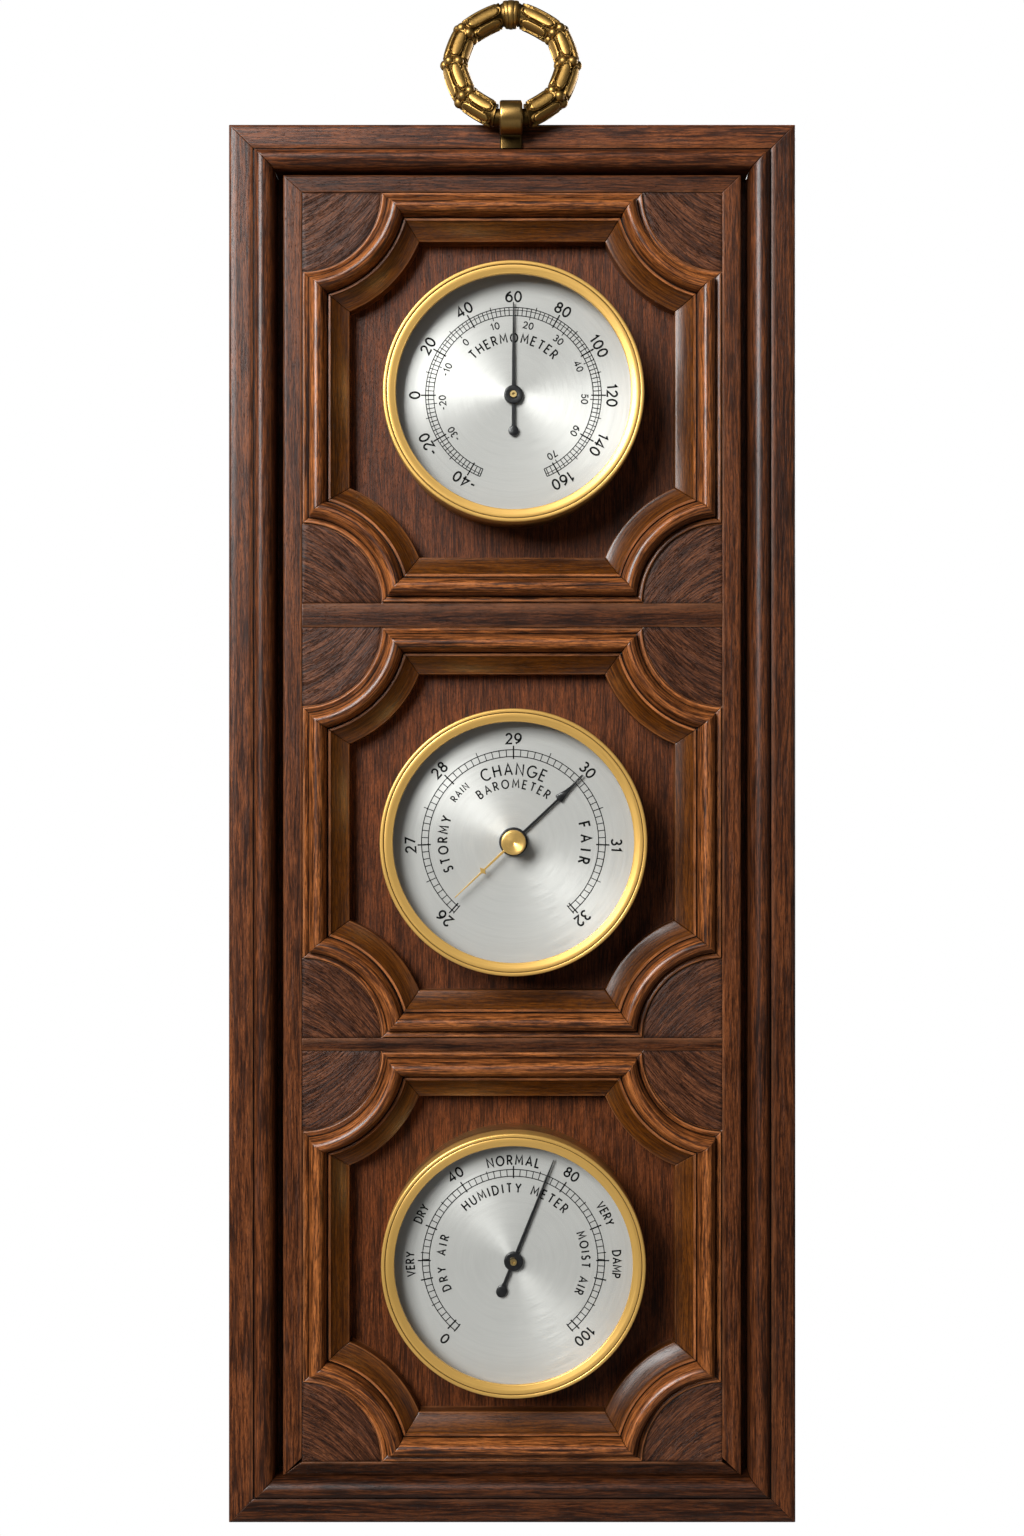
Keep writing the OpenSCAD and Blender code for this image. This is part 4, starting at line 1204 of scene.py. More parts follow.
@dataclass
class Hanger:
    """The cast wreath ring and the bent strap that holds it."""

    finish: Finishes
    ring_x: float = -0.4
    ring_r: float = 20.95
    body_r: float = 4.75
    lean: float = 11.5
    pivot: Point = (11.0, 28.2)
    knots: tuple[float, ...] = (-128.4, -90.0, -53.6, 53.6, 90.0, 128.4)
    collar_half: float = 7.6
    open_angle: float = 15.6
    leaves: int = 6
    straight: float = 0.55
    bead_r: float = 1.95
    loop_r: float = 5.45
    strap_w: float = 8.3
    loop_thick: float = 1.25
    tail_thick: float = 1.5

    def segment(self, around: np.ndarray) -> tuple[np.ndarray, np.ndarray]:
        """Middle and half length, in degrees, of the wreath's stretch that each angle falls in."""
        near, far = self.knots[:3], self.knots[3:]
        last = 180.0 - self.open_angle
        ends = np.array([-last, *near, -self.collar_half, self.collar_half, *far, last])
        slot = np.clip(np.searchsorted(ends, around, side="right") - 1, 0, len(ends) - 2)
        return (ends[slot] + ends[slot + 1]) / 2.0, (ends[slot + 1] - ends[slot]) / 2.0

    def ring_point(self, around: np.ndarray, turn: np.ndarray, r: np.ndarray) -> np.ndarray:
        """Places points of the ring's body.

        A point stands at angle around, clockwise from the ring's top, and at radius r from the body's middle
        line, with turn 0 to the front and 90 degrees outwards. The middle line is a circle of ring_r, drawn
        part of the way to the straight chord of each stretch. The ring then leans back.

        Args:
            around: Angles round the ring, in degrees.
            turn: Angles round its body, in degrees.
            r: Radii of the body in millimetres.

        Returns:
            Points in metres.
        """
        mid, half = self.segment(around)
        a, b = np.radians(around), np.radians(turn)
        chord = np.cos(np.radians(half)) / np.cos(a - np.radians(mid))
        reach = self.ring_r * (1.0 + self.straight * (chord - 1.0)) + r * np.sin(b)
        x = self.ring_x + reach * np.sin(a)
        rise = self.ring_r + reach * np.cos(a)
        forward = r * np.cos(b)
        tilt = math.radians(self.lean)
        up = self.pivot[0] + rise * math.cos(tilt) + forward * math.sin(tilt)
        out = self.pivot[1] - rise * math.sin(tilt) + forward * math.cos(tilt)
        return place(x, up, out)

    def relief(self, around: np.ndarray, turn: np.ndarray) -> tuple[np.ndarray, np.ndarray]:
        """Radius and old patina of the ring's body.

        Between two knots, six long leaves with rounded ends stand round the body, where the sum of the fourth
        powers of the two distances from a leaf's middle stays under one. Each has a round rim, a fine groove
        inside it and a slightly domed face. The ground rises to a low ridge at the knots, and a barrel with
        shallow flutes stands at the top.

        Args:
            around: Angles round the ring, in degrees.
            turn: Angles round its body, in degrees.

        Returns:
            Radius in millimetres and patina from 0 to 1.
        """
        mid, half = self.segment(around)
        s = (around - mid) / np.maximum(half - 2.2, 1.0)
        step = 360.0 / self.leaves
        w = (turn + step / 2.0) % step - step / 2.0
        w = w / (step * 0.465 * np.sqrt(np.clip(1.0 - 0.30 * s**2, 0.2, 1.0)))
        inside = 1.0 - (s**4 + np.abs(w) ** 3)
        raised = smoothstep(inside / 0.22)
        groove = np.exp(-(((inside - 0.46) / 0.085) ** 2))
        face = smoothstep((inside - 0.46) / 0.25)
        body = self.body_r - 0.95 + 0.85 * raised - 0.42 * groove + 0.12 * face * (1.0 - w**2)
        knot = smoothstep(1.0 - (half - np.abs(around - mid)) / 3.2)
        body = body + 0.50 * knot * (1.0 - raised) - 0.15 * knot
        dirt = np.clip((1.0 - raised) * (0.9 - 0.35 * knot) + 1.0 * groove, 0.0, 1.0)
        place_on = np.abs(around) / self.collar_half
        on = smoothstep((1.0 - place_on) / 0.10)
        flute = np.abs(np.cos(np.radians(around / self.collar_half * 225.0)))
        swell = np.sqrt(np.clip(1.0 - place_on**2, 0.0, 1.0))
        barrel = self.body_r - 0.55 + 0.75 * swell + 0.22 * np.sqrt(flute)
        body = body * (1.0 - on) + barrel * on
        dirt = dirt * (1.0 - on) + on * 0.8 * smoothstep(1.0 - flute / 0.4)
        return body, dirt

    def beads(self, mesh: Mesh) -> None:
        """Adds the small balls that sit round the body at each knot, in the gaps between the cushions."""
        lat = np.radians(np.linspace(-90.0, 90.0, 11)[1:-1])[:, None]
        lon = np.radians(np.arange(0.0, 360.0, 22.5))
        unit = [np.cos(lat) * np.cos(lon), np.cos(lat) * np.sin(lon), np.sin(lat) + 0.0 * lon]
        ball = np.stack(unit, axis=-1) * self.bead_r * MM
        for knot in self.knots:
            for k in range(self.leaves):
                turn = (k + 0.5) * 360.0 / self.leaves
                centre = self.ring_point(np.array(knot), np.array(turn), np.array(self.body_r - 1.45))
                index = mesh.grid(centre + ball, closed=(False, True), hollow=0.22)
                mesh.close_ends(index[0][::-1], index[-1][::-1])

    def ring(self) -> None:
        """Builds the wreath ring with its neck and the collar that turns in the strap."""
        mesh = Mesh()
        around = np.linspace(-180.0 + self.open_angle, 180.0 - self.open_angle, 621)[:, None]
        turn = np.linspace(0.0, 360.0, 144, endpoint=False)[None, :]
        body, dirt = self.relief(around, turn)
        points = self.ring_point(around + 0.0 * turn, turn + 0.0 * around, body)
        index = mesh.grid(points, closed=(False, True), hollow=dirt)
        mesh.close_ends(index[0], index[-1])
        self.beads(mesh)
        self.collar(mesh)
        fit(mesh, "hanger_ring", "cast", self.finish.cast_brass, "ring", "old_brass", sharp=60.0)

    def collar(self, mesh: Mesh) -> None:
        """Adds the neck on both sides of the strap and the round collar inside it, turned about the pivot."""
        a = np.linspace(0.0, TAU, 48, endpoint=False)
        left = [[-7.2, 2.2], [-6.6, 2.9], [-5.6, 3.1], [-4.6, 3.1], [-4.05, 3.2], [-3.9, 4.85]]
        profile = np.array(left + [[-x, r] for x, r in reversed(left)])
        x = self.ring_x + profile[:, 0][:, None] + 0.0 * a
        up = self.pivot[0] + profile[:, 1][:, None] * np.cos(a)
        out = self.pivot[1] + profile[:, 1][:, None] * np.sin(a)
        # Painted shade, with some patina, on the neck beside the strap.
        dirt = np.where(np.abs(profile[:, 0]) > 3.95, 0.85, 0.1)[:, None]
        index = mesh.grid(place(x, up, out), closed=(False, True), hollow=dirt)
        mesh.close_ends(index[0], index[-1])

    def strap(self) -> None:
        """Builds the strap: a rounded band that climbs the rail's face and loops over the collar."""
        mesh = Mesh()
        loop = arc(self.pivot[0], self.pivot[1], self.loop_r, self.loop_r, 0.0, 360.0, 96)[:-1]
        # Painted shade on the loop's lower side and its back.
        low = smoothstep((np.arange(len(loop)) / len(loop) * 360.0 - 105.0) / 60.0)
        self.band(mesh, loop, self.loop_thick, closed=True, dirt=0.55 * low)
        tail = chain([[1.45, 22.75], [2.6, 22.85], [4.2, 23.0], [5.4, 23.2], [6.4, 23.7], [7.2, 24.4]])
        # Painted shadow of the loop on the tail.
        self.band(mesh, tail, self.tail_thick, closed=False, dirt=np.full(len(tail), 0.86))
        fit(mesh, "hanger_strap", "bent", self.finish.strap_brass, "station", "old_brass", sharp=50.0)

    def band(self, mesh: Mesh, path: np.ndarray, thick: float, closed: bool, dirt: np.ndarray) -> None:
        """Adds a flat band with rounded edges along a line seen from the side.

        Args:
            mesh: The mesh that takes it.
            path: Points of (up, out) along the band's middle.
            thick: Thickness in millimetres.
            closed: Whether the line runs into a ring.
            dirt: Painted shade and old patina at each point of the line.
        """
        ahead, behind = np.roll(path, -1, axis=0), np.roll(path, 1, axis=0)
        tangent = ahead - behind if closed else np.gradient(path, axis=0)
        tangent /= np.linalg.norm(tangent, axis=1)[:, None]
        normal = np.stack([tangent[:, 1], -tangent[:, 0]], axis=1)
        ease, deep = 0.95, thick / 2.0
        half = self.strap_w / 2.0 - ease
        right = arc(half, 0.0, ease, deep, 90.0, -90.0, 6)
        left = arc(-half, 0.0, ease, deep, -90.0, -270.0, 6)
        section = np.concatenate([[[0.0, deep]], right, [[0.0, -deep]], left])
        x = self.ring_x + section[None, :, 0] + 0.0 * path[:, :1]
        up = path[:, :1] + normal[:, :1] * section[None, :, 1]
        out = path[:, 1:] + normal[:, 1:] * section[None, :, 1]
        index = mesh.grid(place(x, up, out), closed=(closed, True), hollow=dirt[:, None])
        if not closed:
            mesh.close_ends(index[0], index[-1])

    def build(self) -> None:
        """Builds the ring and the strap."""
        self.ring()
        self.strap()


def pen(*numbers: float) -> np.ndarray:
    """A stroke of straight lines through points given as x, y, x, y and so on."""
    return np.array(numbers, float).reshape(-1, 2)


def oval(cx: float, cy: float, rx: float, ry: float, steps: int) -> np.ndarray:
    """A closed round stroke."""
    return arc(cx, cy, rx, ry, 0.0, 360.0, steps)


@dataclass
class Lettering:
    """Plain drawn capitals and numerals: each is a few strokes in a box one unit tall."""

    weight: float = 0.19
    narrow: float = 0.84

    def __post_init__(self) -> None:
        """Draws the strokes of every character, with its width first, then sets most letters narrower."""
        stem_and_bowl = chain(pen(0, 0, 0, 1, 0.26, 1), arc(0.26, 0.74, 0.27, 0.26, 90, -90), pen(0, 0.48))
        upper_b = chain(pen(0, 0, 0, 1, 0.27, 1), arc(0.27, 0.76, 0.24, 0.24, 90, -90), pen(0, 0.52))
        lower_b = chain(pen(0.27, 0.52), arc(0.29, 0.26, 0.28, 0.26, 90, -90), pen(0, 0))
        round_d = chain(pen(0, 0, 0, 1, 0.22, 1), arc(0.22, 0.5, 0.50, 0.5, 90, -90, 16), pen(0, 0))
        tail_6 = chain(pen(0.52, 1), arc(0.62, 0.34, 0.61, 0.62, 115, 182))
        tail_9 = chain(pen(0.10, 0), arc(0, 0.66, 0.61, 0.62, -65, 2))
        kept: dict[str, tuple[float, list[np.ndarray]]] = {
            "0": (0.62, [oval(0.31, 0.5, 0.31, 0.5, 24)]),
            "1": (0.34, [pen(0.02, 0.80, 0.24, 1, 0.24, 0)]),
            "2": (0.60, [chain(arc(0.29, 0.71, 0.27, 0.29, 165, -38), pen(0, 0, 0.60, 0))]),
            "3": (0.58, [arc(0.27, 0.75, 0.24, 0.25, 150, -90), arc(0.27, 0.26, 0.29, 0.26, 82, -150)]),
            "4": (0.66, [pen(0.66, 0.27, 0, 0.27, 0.48, 1, 0.48, 0)]),
            "5": (0.58, [chain(pen(0.53, 1, 0.14, 1, 0.08, 0.55), arc(0.27, 0.33, 0.30, 0.33, 125, -150))]),
            "6": (0.62, [oval(0.31, 0.32, 0.30, 0.32, 20), tail_6]),
            "7": (0.56, [pen(0, 1, 0.56, 1, 0.17, 0)]),
            "8": (0.60, [oval(0.30, 0.76, 0.23, 0.24, 18), oval(0.30, 0.27, 0.29, 0.27, 20)]),
            "9": (0.62, [oval(0.31, 0.68, 0.30, 0.32, 20), tail_9]),
            "-": (0.40, [pen(0, 0.46, 0.36, 0.46)]),
            "I": (0.06, [pen(0.03, 0, 0.03, 1)]),
            " ": (0.34, []),
        }
        letters: dict[str, tuple[float, list[np.ndarray]]] = {
            "A": (0.78, [pen(0, 0, 0.39, 1, 0.78, 0), pen(0.14, 0.33, 0.64, 0.33)]),
            "B": (0.58, [upper_b, lower_b]),
            "C": (0.86, [arc(0.50, 0.5, 0.50, 0.5, 46, 314, 20)]),
            "D": (0.74, [round_d]),
            "E": (0.52, [pen(0.52, 1, 0, 1, 0, 0, 0.52, 0), pen(0, 0.52, 0.46, 0.52)]),
            "F": (0.50, [pen(0.50, 1, 0, 1, 0, 0), pen(0, 0.50, 0.44, 0.50)]),
            "G": (0.94, [chain(arc(0.50, 0.5, 0.50, 0.5, 46, 355, 22), pen(0.98, 0.46, 0.58, 0.46))]),
            "H": (0.68, [pen(0, 0, 0, 1), pen(0.68, 0, 0.68, 1), pen(0, 0.52, 0.68, 0.52)]),
            "L": (0.48, [pen(0, 1, 0, 0, 0.48, 0)]),
            "M": (0.88, [pen(0, 0, 0.08, 1, 0.44, 0.28, 0.80, 1, 0.88, 0)]),
            "N": (0.70, [pen(0, 0, 0, 1, 0.70, 0, 0.70, 1)]),
            "O": (0.96, [oval(0.48, 0.5, 0.48, 0.5, 26)]),
            "P": (0.54, [stem_and_bowl]),
            "R": (0.58, [stem_and_bowl, pen(0.24, 0.48, 0.58, 0)]),
            "S": (0.54, [chain(arc(0.28, 0.75, 0.23, 0.25, 35, 265), arc(0.26, 0.26, 0.26, 0.26, 85, -150))]),
            "T": (0.62, [pen(0, 1, 0.62, 1), pen(0.31, 1, 0.31, 0)]),
            "U": (0.66, [chain(pen(0, 1, 0, 0.33), arc(0.33, 0.33, 0.33, 0.33, 180, 360), pen(0.66, 1))]),
            "V": (0.74, [pen(0, 1, 0.37, 0, 0.74, 1)]),
            "Y": (0.70, [pen(0, 1, 0.35, 0.48, 0.70, 1), pen(0.35, 0.48, 0.35, 0)]),
        }
        squeeze = np.array([self.narrow, 1.0])
        self.glyphs = kept | {
            letter: (wide * self.narrow, [stroke * squeeze for stroke in strokes])
            for letter, (wide, strokes) in letters.items()
        }

    def width(self, text: str, gap: float) -> float:
        """Width of a word in units of its height, with a gap between its characters."""
        return sum(self.glyphs[c][0] for c in text) + gap * (len(text) - 1)


@dataclass
class Printer:
    """Prints ink lines, ticks and words on one dial, as thin raised strips."""

    mesh: Mesh
    centre: Point
    letters: Lettering
    face: float
    ink: float = 0.05

    def strip(self, line: np.ndarray, width: float) -> None:
        """Adds a strip of ink along a line, square at its ends, with its corners carried round.

        Args:
            line: Points from the dial's centre in millimetres.
            width: Width of the strip.
        """
        d = np.diff(line, axis=0)
        d /= np.linalg.norm(d, axis=1)[:, None]
        before, after = np.concatenate([d[:1], d]), np.concatenate([d, d[-1:]])
        ring = np.linalg.norm(line[0] - line[-1]) < 1e-6
        if ring:
            before[0], after[-1] = d[-1], d[0]
        tangent = before + after
        tangent /= np.maximum(np.linalg.norm(tangent, axis=1)[:, None], 1e-6)
        normal = np.stack([-tangent[:, 1], tangent[:, 0]], axis=1)
        stretch = np.clip((normal * np.stack([-before[:, 1], before[:, 0]], axis=1)).sum(axis=1), 0.5, 1.0)
        offset = normal * (width / 2.0 / stretch)[:, None]
        low, high = self.face, self.face + self.ink
        near, far = line - offset + self.centre, line + offset + self.centre
        edges = [(near, low), (near, high), (far, high), (far, low)]
        points = np.stack([place(edge[:, 0], edge[:, 1], np.array(out)) for edge, out in edges], axis=1)
        index = self.mesh.grid(points, closed=(False, True))
        if not ring:
            self.mesh.close_ends(index[0], index[-1])

    def circle(self, r: float, start: float, end: float, width: float) -> None:
        """An arc of ink between two angles clockwise from the top."""
        steps = max(int(abs(end - start) / 2.0), 2)
        self.strip(arc(0.0, 0.0, r, r, 90.0 - start, 90.0 - end, steps), width)

    def tick(self, angle: float, inner: float, outer: float, width: float) -> None:
        """A radial line at an angle clockwise from the top."""
        a = math.radians(90.0 - angle)
        way = np.array([math.cos(a), math.sin(a)])
        self.strip(np.stack([inner * way, outer * way]), width)

    def word(
        self,
        text: str,
        r: float,
        angle: float,
        height: float,
        span: float | None = None,
        weight: float | None = None,
    ) -> None:
        """Writes a word along a circle, with its tops outwards.

        Args:
            text: The word.
            r: Radius of the letters' middle.
            angle: Middle of the word, clockwise from the top.
            height: Height of the letters in millimetres.
            span: Angle that the word covers, or None for an even spacing.
            weight: Thickness of the strokes over their height.
        """
        gap = 0.30
        natural = self.letters.width(text, gap) * height
        if span is not None and len(text) > 1:
            gap += (math.radians(span) * r - natural) / height / (len(text) - 1)
        total = self.letters.width(text, gap)
        cursor = -total / 2.0
        for character in text:
            width, strokes = self.letters.glyphs[character]
            middle = math.radians(angle) + (cursor + width / 2.0) * height / r
            right = np.array([math.cos(middle), -math.sin(middle)])
            upwards = np.array([math.sin(middle), math.cos(middle)])
            for stroke in strokes:
                flat = (stroke - np.array([width / 2.0, 0.5])) * height
                line = flat[:, :1] * right + (r + flat[:, 1:]) * upwards
                self.strip(line, (weight or self.letters.weight) * height)
            cursor += width + gap


@dataclass
class Gauge:
    """One brass-cased gauge: case, bezel, glass, dial with its printing, pointer and set hand."""

    kind: GaugeKind
    finish: Finishes
    letters: Lettering
    case: bpy.types.Object
    bezel_w: float = 4.8
    dial_face: float = 26.2
    dial_thick: float = 0.8
    arbor_r: float = 1.22
    hub_base: float = 26.6
    hub_r: float = 3.5
    pointer_h: float = 27.0
    pointer_thick: float = 0.6
    set_hand_h: float = 29.3
    knob_r: float = 4.5
    knob_base: float = 32.7

    def node(self, part: str) -> str:
        """Name of one of this gauge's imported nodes."""
        return f"{self.kind.value}_{part}"

    def __post_init__(self) -> None:
        """Reads the gauge's centre and radius from its bezel."""
        low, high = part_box(self.node("bezel"))
        self.centre = ((low.x + high.x) / 2.0 / MM, (low.z + high.z) / 2.0 / MM)
        self.radius = (high.x - low.x) / 2.0 / MM
        self.front = -low.y / MM

    def bezel(self) -> None:
        """Builds the bezel: a rounded outer lip, a fine groove and a face that slopes in to the glass."""
        r, f = self.radius, self.front
        groove, inner = r - 1.48, r - self.bezel_w
        profile = chain(
            [[r - 0.7, f - 8.5], [r - 0.05, f - 8.5], [r, f - 8.2], [r, f - 5.0]],
            arc(r - 0.60, f - 0.7, 0.60, 0.7, 0.0, 90.0, 9),
            arc(r - 1.05, f - 0.35, 0.35, 0.35, 90.0, 165.0, 6),
            [[groove + 0.04, f - 0.62], [groove - 0.04, f - 0.62], [groove - 0.16, f - 0.30]],
            [[r - 1.84, f - 0.20], [r - 3.0, f - 0.47], [inner + 0.50, f - 0.78]],
            arc(inner + 0.45, f - 1.3, 0.45, 0.5, 75.0, 180.0, 6),
            [[inner, f - 1.9], [r - 0.7, f - 1.9], [r - 0.7, f - 3.9]],
            [[r - 2.2, f - 3.9], [r - 2.2, f - 4.3], [r - 0.7, f - 4.3]],
        )
        # Old grime and painted shade in the fine groove between the lip and the face.
        dirt = np.exp(-(((profile[:, 0] - groove) / 0.13) ** 2)) * (profile[:, 1] > f - 1.5)
        mesh = Mesh()
        turned(mesh, profile, self.centre, 224, hollow=0.85 * dirt)
        fit(mesh, self.node("bezel"), "turned", self.finish.bezel_brass, "station", "bezel_brass", sharp=40.0)

    def dial(self) -> None:
        """Builds the dial plate, with a map that runs round it for the brushing."""
        r = self.radius - 1.6
        hole = 2.0 if self.kind is GaugeKind.BAROMETER else 0.65
        face, back = self.dial_face, self.dial_face - self.dial_thick
        rim = [[r - 0.1, face], [r, face - 0.1], [r, back]]
        profile = chain([[hole, back], [hole, face], [8.0, face], [24.0, face]], rim)
        mesh = Mesh()
        turned(mesh, profile, self.centre, 192, by_radius=True)
        fit(mesh, self.node("dial"), "brushed", self.finish.dial, "station", "dial_silver")

    def printing(self) -> None:
        """Prints the gauge's scale and words."""
        mesh = Mesh()
        p = Printer(mesh, self.centre, self.letters, self.dial_face)
        {
            GaugeKind.THERMOMETER: self.thermometer_scale,
            GaugeKind.BAROMETER: self.barometer_scale,
            GaugeKind.HYGROMETER: self.humidity_scale,
        }[self.kind](p)
        dress(mesh.build(self.node("printing"), self.finish.ink), "station", "black_paint")

    def thermometer_scale(self, p: Printer) -> None:
        """Fahrenheit from -40 to 160 outside the track, at 1.5 degrees of arc each, and Celsius inside."""
        inner, middle, outer, last = 29.3, 31.3, 32.3, 157.5
        for r, w in ((outer, 0.32), (middle, 0.24), (inner, 0.32)):
            p.circle(r, -last, last, w)
        for k in range(-52, 53):
            tens, bold = k % 5 == 0, k % 10 == 0
            tip = 34.0 if bold else 33.3 if tens else outer
            p.tick(3.0 * k, 28.6 if bold else inner, tip, 0.50 if bold else 0.30)
        for end in (-last, last):
            p.tick(end, inner, outer, 0.36)
        for k in range(11):
            p.word(str(-40 + 20 * k), 36.3, -150.0 + 30.0 * k, 3.6)
        for celsius in range(-30, 71, 10):
            angle = (celsius * 1.8 + 32.0 - 60.0) * 1.5
            p.tick(angle, 28.2, inner, 0.3)
            p.word(str(celsius), 26.2, angle, 2.3)
        p.word("THERMOMETER", 21.1, 0.0, 3.2, span=94.0, weight=0.175)

    def barometer_scale(self, p: Printer) -> None:
        """Inches of mercury from 26 to 32, at 46 degrees of arc each, with the words for the weather."""
        inner, outer, last = 31.3, 33.8, 140.0
        for r in (inner, outer):
            p.circle(r, -last, last, 0.33)
        for k in range(-30, 31):
            whole, half = k % 10 == 0, k % 5 == 0
            tip = 35.3 if whole or half else outer
            p.tick(4.6 * k, 30.4 if whole else inner, tip, 0.50 if whole else 0.30)
        for end in (-last, last):
            p.tick(end, 30.6, 34.4, 0.4)
        for k in range(7):
            p.word(str(26 + k), 37.9, -138.0 + 46.0 * k, 3.6)
        p.word("CHANGE", 26.6, 0.0, 4.1, span=52.0, weight=0.150)
        p.word("BAROMETER", 21.3, 0.0, 3.0, span=75.0, weight=0.175)
        p.word("RAIN", 26.9, -47.5, 2.4, span=16.0)
        p.word("STORMY", 26.0, -92.0, 3.3, span=45.0)
        p.word("FAIR", 26.7, 91.0, 3.8, span=32.0)

    def humidity_scale(self, p: Printer) -> None:
        """Per cent of humidity from 0 to 100, with words for dry, normal and damp air."""
        inner, outer, last = 31.0, 33.5, 140.0
        for r in (inner, outer):
            p.circle(r, -last, last, 0.33)
        for k in range(-33, 34):
            tens, bold = k % 4 == 0, k % 8 == 0
            tip = 34.8 if bold else 34.2 if tens else outer
            p.tick(4.25 * k, 30.3 if bold else inner, tip, 0.50 if bold else 0.30)
        for angle in (-90.0, 90.0):
            p.tick(angle, 30.4, 35.2, 0.46)
        for end in (-last, last):
            p.tick(end, 30.4, 34.0, 0.4)
        for text, angle in (("0", -138.7), ("40", -34.0), ("80", 34.0), ("100", 136.8)):
            p.word(text, 38.2, angle, 3.4)
        p.word("NORMAL", 36.9, 0.0, 3.3, span=30.0)
        p.word("HUMIDITY METER", 26.7, 1.5, 3.2, span=89.0, weight=0.175)
        for text, angle in (("VERY", -92.0), ("DRY", -63.0), ("VERY", 63.0), ("DAMP", 92.0)):
            p.word(text, 38.0, angle, 2.9)
        p.word("DRY AIR", 26.6, -92.0, 2.9, span=44.0)
        p.word("MOIST AIR", 26.6, 92.0, 2.9, span=50.0)

    def cased(self) -> None:
        """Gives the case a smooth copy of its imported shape, so that its wall shows no facets."""
        node = self.node("case")
        mesh = self.case.data.copy()
        work = bmesh.new()
        work.from_mesh(mesh)
        bmesh.ops.remove_doubles(work, verts=work.verts, dist=1e-6)
        work.to_mesh(mesh)
        work.free()
        mesh.shade_smooth()
        mesh.set_sharp_from_angle(angle=math.radians(30.0))
        mesh.materials.clear()
        mesh.materials.append(self.finish.case_brass)
        piece = bpy.data.objects.new(f"{node}_drawn", mesh)
        bpy.context.scene.collection.objects.link(piece)
        dress(piece, "station", "case_brass", node)

    def blade(self, angle: float, stations: Sequence[Point], thick: float, base: float) -> Mesh:
        """A flat hand along its length: at each station the section is a thin bar with rounded sides.

        Args:
            angle: Way that it points, clockwise from the top.
            stations: Points of (distance from the axis, half width).
            thick: Thickness.
            base: Height of its back.

        Returns:
            The mesh that holds it.
        """
        mesh = Mesh()
        a = math.radians(angle)
        right, upwards = (math.cos(a), -math.sin(a)), (math.sin(a), math.cos(a))
        shape = np.array([[-1.0, 0.0], [-1.0, 0.6], [-0.72, 1.0], [0.72, 1.0], [1.0, 0.6], [1.0, 0.0]])
        stations = np.asarray(stations)
        across = stations[:, 1:] * shape[None, :, 0]
        along = stations[:, :1] + 0.0 * across
        out = base + thick * shape[None, :, 1] + 0.0 * across
        x = self.centre[0] + across * right[0] + along * upwards[0]
        up = self.centre[1] + across * right[1] + along * upwards[1]
        index = mesh.grid(place(x, up, out), closed=(False, True))
        mesh.close_ends(index[0], index[-1])
        return mesh

    def plain_pointer(self, angle: float, reach: float, tail: float, ball: float, taper: float) -> None:
        """Builds a black pointer with a ball at its tail and a domed hub round the arbor's brass end.

        Args:
            angle: Way that it points, clockwise from the top.
            reach: Distance from the axis to its tip.
            tail: Distance from the axis to the middle of the ball.
            ball: Radius of the ball.
            taper: How much longer than wide the ball is.
        """
        turn = np.radians(np.linspace(-90.0, 62.0, 14))
        half = np.maximum(ball * np.cos(turn), 0.05)
        round_end = np.stack([-tail + taper * ball * np.sin(turn), half], axis=1)
        shaft = [[-tail + taper * ball + 0.6, 0.66], [-2.0, 0.66], [reach * 0.45, 0.54], [reach * 0.8, 0.36]]
        stations = np.concatenate([round_end, shaft, [[reach, 0.18]]])
        mesh = self.blade(angle, stations, self.pointer_thick, self.pointer_h)
        r, bore, base = self.hub_r, self.arbor_r, self.hub_base
        dome = arc(r - 0.5, base + 1.15, 0.5, 0.45, 0.0, 90.0, 6)
        foot = [[bore, base], [r, base], [r, base + 1.1]]
        turned(mesh, chain(foot, dome, [[1.5, base + 1.6], [bore, base + 1.5]]), self.centre, 64)
        body, black = self.node("hand"), self.finish.black
        fit(mesh, self.node("pointer"), "blade", black, body, "black_paint", sharp=40.0)

    def arrow_pointer(self, angle: float) -> None:
        """Builds the barometer's arrow: a slender shaft, swept barbs and a long point on a black disc."""
        shaft = [[0.0, 0.5], [12.0, 0.5], [22.4, 0.46]]
        barbs = [[22.5, 1.0], [22.9, 1.7], [24.5, 1.25]]
        point = [[27.0, 0.75], [30.5, 0.4], [35.4, 0.12]]
        mesh = self.blade(angle, shaft + barbs + point, self.pointer_thick, self.pointer_h)
        r, bore, base = 5.3, self.arbor_r, self.hub_base
        edge = arc(r - 0.4, base + 1.2, 0.4, 0.4, 0.0, 90.0, 5)
        disc = chain([[bore, base], [r, base], [r, base + 1.2]], edge, [[bore, base + 1.6]])
        turned(mesh, disc, self.centre, 72)
        body, black = self.node("hand"), self.finish.black
        fit(mesh, self.node("pointer"), "arrow", black, body, "black_paint", sharp=40.0)

